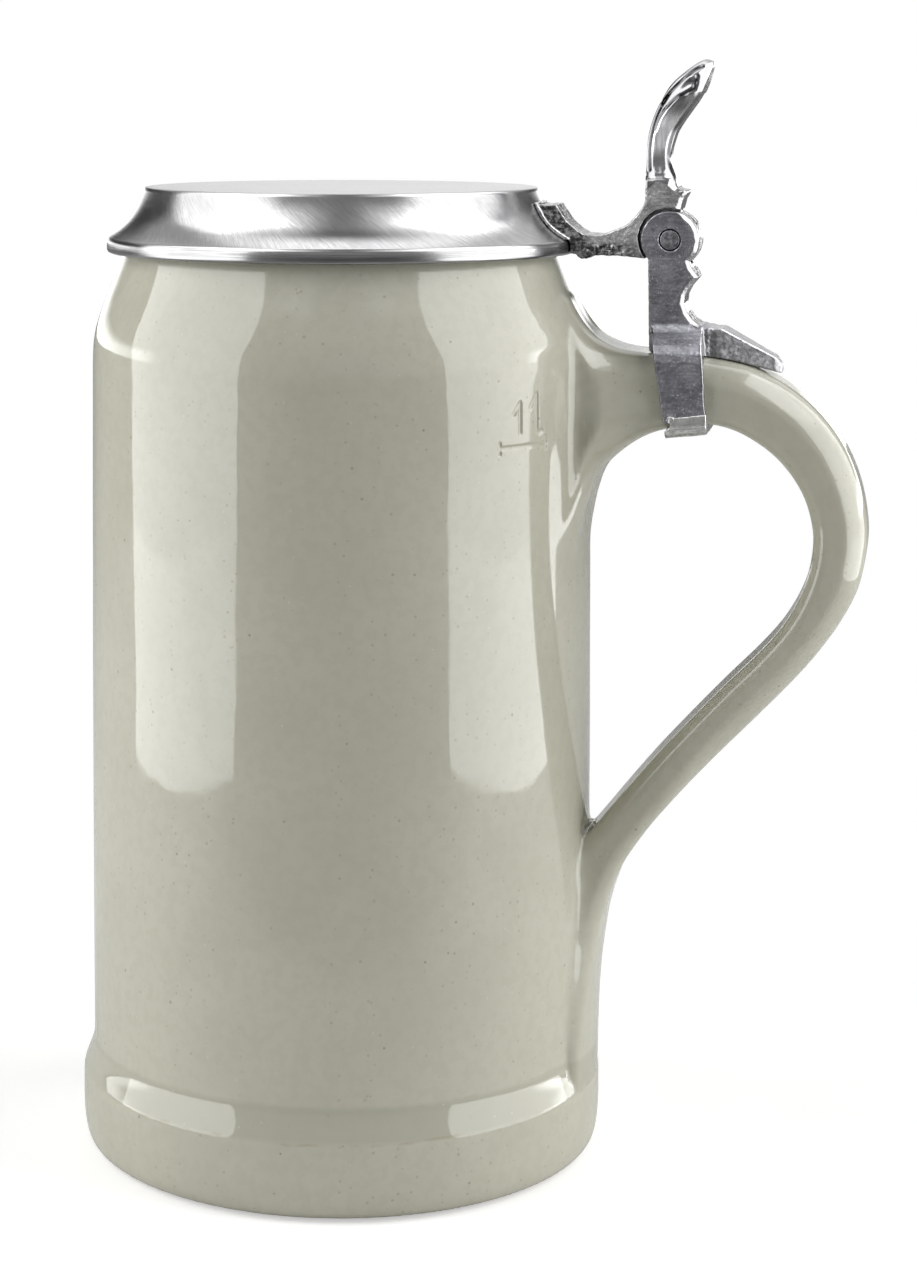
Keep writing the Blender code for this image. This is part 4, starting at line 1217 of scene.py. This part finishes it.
def stage_world():
    world = bpy.data.worlds.new("studio")
    bpy.context.scene.world = world
    world.use_nodes = True
    tree = world.node_tree
    nodes, links = tree.nodes, tree.links
    nodes.clear()
    out = nodes.new("ShaderNodeOutputWorld")
    coord = nodes.new("ShaderNodeTexCoord")
    sep = nodes.new("ShaderNodeSeparateXYZ")
    links.new(coord.outputs["Generated"], sep.inputs[0])

    def put(socket, v):
        if isinstance(v, bpy.types.NodeSocket):
            links.new(v, socket)
        else:
            socket.default_value = v

    def op(kind, a, b=0.0):
        m = nodes.new("ShaderNodeMath")
        m.operation = kind
        put(m.inputs[0], a)
        put(m.inputs[1], b)
        return m.outputs[0]

    def span(v, lo, hi, a=0.0, b=1.0):
        m = nodes.new("ShaderNodeMapRange")
        m.interpolation_type = "SMOOTHSTEP"
        put(m.inputs["Value"], v)
        for key, val in (("From Min", lo), ("From Max", hi), ("To Min", a), ("To Max", b)):
            m.inputs[key].default_value = val
        return m.outputs["Result"]

    back = op("ADD", op("MULTIPLY", sep.outputs[0], AWAY.x), op("MULTIPLY", sep.outputs[1], AWAY.y))
    up = sep.outputs[2]
    side = op("ADD", op("MULTIPLY", sep.outputs[0], RIGHT.x), op("MULTIPLY", sep.outputs[1], RIGHT.y))
    rear = op("ADD", span(back, 0.0, 0.3, 0.0, WORLD_BACK), op("MULTIPLY", span(back, 0.0, 0.15), span(back, 0.93, 0.68, 0.0, WORLD_SIDE)))
    rear = op("MULTIPLY", rear, span(side, 0.0, 0.5, 1.0, 1.5))
    behind = op("MULTIPLY", rear, span(up, 0.12, 0.03))
    apart = op("ABSOLUTE", side)
    wing = op("MULTIPLY", op("MULTIPLY", span(apart, 0.10, 0.36), span(up, 0.56, 0.68)), span(back, 0.20, -0.02, 0.0, WORLD_WING))
    mid = op("MULTIPLY", op("MULTIPLY", span(up, 0.36, 0.48), span(up, 0.80, 0.70)), span(back, 0.0, 0.35, 0.0, WORLD_MID))
    high = op("MULTIPLY", op("MULTIPLY", span(up, 0.22, 0.40), span(back, 0.15, 0.45)), span(side, -0.42, -0.12, 0.0, WORLD_HIGH))
    over = op("MULTIPLY", span(up, 0.72, 0.86), span(back, 0.02, 0.22))
    front = op("MULTIPLY", span(back, 0.05, -0.30), span(up, 0.999, 0.90, 0.75, 1.0))
    low = op("MULTIPLY", op("MULTIPLY", span(up, 0.02, 0.10), span(up, 0.36, 0.26)), span(back, 0.5, 0.8, 0.0, WORLD_LOW))
    low = op("MULTIPLY", low, op("MULTIPLY", span(side, -0.14, -0.02), span(side, 0.34, 0.24)))
    level = op("ADD", op("ADD", op("ADD", op("ADD", op("ADD", behind, high), mid), wing), low), WORLD_BASE)
    level = op("ADD", level, op("MULTIPLY", over, WORLD_TOP))
    level = op("ADD", level, op("MULTIPLY", front, WORLD_FRONT))
    path = nodes.new("ShaderNodeLightPath")
    glossy = path.outputs["Is Glossy Ray"]
    soft = span(up, -0.2, 0.9, WORLD_SOFT * 1.1, WORLD_SOFT * 0.7)
    level = op("ADD", op("MULTIPLY", level, glossy), op("MULTIPLY", soft, op("SUBTRACT", 1.0, glossy)))
    studio = nodes.new("ShaderNodeBackground")
    studio.inputs["Color"].default_value = (1, 1, 1, 1)
    links.new(level, studio.inputs["Strength"])
    white = nodes.new("ShaderNodeBackground")
    white.inputs["Color"].default_value = (1, 1, 1, 1)
    white.inputs["Strength"].default_value = 1.0
    mix = nodes.new("ShaderNodeMixShader")
    links.new(path.outputs["Is Camera Ray"], mix.inputs[0])
    links.new(studio.outputs[0], mix.inputs[1])
    links.new(white.outputs[0], mix.inputs[2])
    links.new(mix.outputs[0], out.inputs[0])
    world.cycles.sampling_method = "NONE"


def softbox(name, degrees, distance, width, low, high, radiance, lean=0.0, glossy=True, diffuse=True):
    """Tall light panel whose foot is at `distance` and whose top leans over the object.
    Degrees are counted from the camera's side, right is positive."""
    a = math.radians(degrees)
    direction = -AWAY * math.cos(a) + RIGHT * math.sin(a)
    light = bpy.data.lights.new(name, "AREA")
    light.shape = "RECTANGLE"
    light.size, light.size_y = width, high - low
    light.energy = radiance * math.pi * width * (high - low)
    obj = bpy.data.objects.new(name, light)
    t = math.radians(lean)
    half = 0.5 * (high - low)
    obj.location = direction * (distance - half * math.sin(t)) + Vector((0, 0, low + half * math.cos(t)))
    obj.rotation_mode = "QUATERNION"
    aim = -direction * math.cos(t) + Vector((0, 0, -math.sin(t)))
    obj.rotation_quaternion = aim.to_track_quat("-Z", "Y")
    obj.visible_camera = False
    obj.visible_glossy = glossy
    obj.visible_diffuse = diffuse
    bpy.context.scene.collection.objects.link(obj)
    return obj


FLOOR_GLOW = 0.45
WORLD_BASE, WORLD_BACK, WORLD_SIDE, WORLD_HIGH, WORLD_MID, WORLD_WING = 0.08, 2.1, 1.3, 0.6, 0.8, 2.2
WORLD_LOW = 0.9
WORLD_TOP, WORLD_FRONT, WORLD_SOFT = 2.9, 0.44, 0.20

stage_floor()
stage_world()
softbox("softbox_left", -74.0, 0.36, 0.38, 0.0, 0.62, 3.6, 12.0, diffuse=False)
softbox("softbox_right", 77.0, 0.36, 0.42, 0.0, 0.62, 3.7, 12.0, diffuse=False)
softbox("fill_left", -81.0, 0.84, 0.80, 0.0, 1.10, 2.9, 10.0, glossy=False)
softbox("fill_right", 81.0, 0.84, 0.80, 0.0, 1.10, 3.1, 10.0, glossy=False)

# camera: level, vertical picture plane, picture shifted as with a rising front
DIST, EYE = 0.630, 0.2236
cam_data = bpy.data.cameras.new("photo_view")
cam = bpy.data.objects.new("photo_view", cam_data)
bpy.context.scene.collection.objects.link(cam)
cam_data.sensor_width = 36.0
cam_data.lens = 36.0 * 2940.0 / 1280.0
cam_data.clip_start, cam_data.clip_end = 0.01, 20.0
place = -AWAY * DIST + Vector((0, 0, EYE))
cam.location = place
cam.rotation_mode = "QUATERNION"
cam.rotation_quaternion = AWAY.to_track_quat("-Z", "Y")
bpy.context.scene.camera = cam
SHIFT = {"shift_x": (917 / 2 - 341.5) / 1280.0, "shift_y": -(1280 / 2 - 82.7) / 1280.0}
for key, amount in SHIFT.items():
    curve = cam_data.driver_add(key)
    var = curve.driver.variables.new()
    var.name = "x"
    var.type = "TRANSFORMS"
    var.targets[0].id = cam
    var.targets[0].transform_type = "LOC_X"
    var.targets[0].transform_space = "WORLD_SPACE"
    curve.driver.expression = f"{amount:.6f} if abs(x - {place.x:.6f}) < 0.0005 else 0"

bpy.context.scene.view_settings.view_transform = "Standard"
bpy.context.scene.view_settings.look = "None"
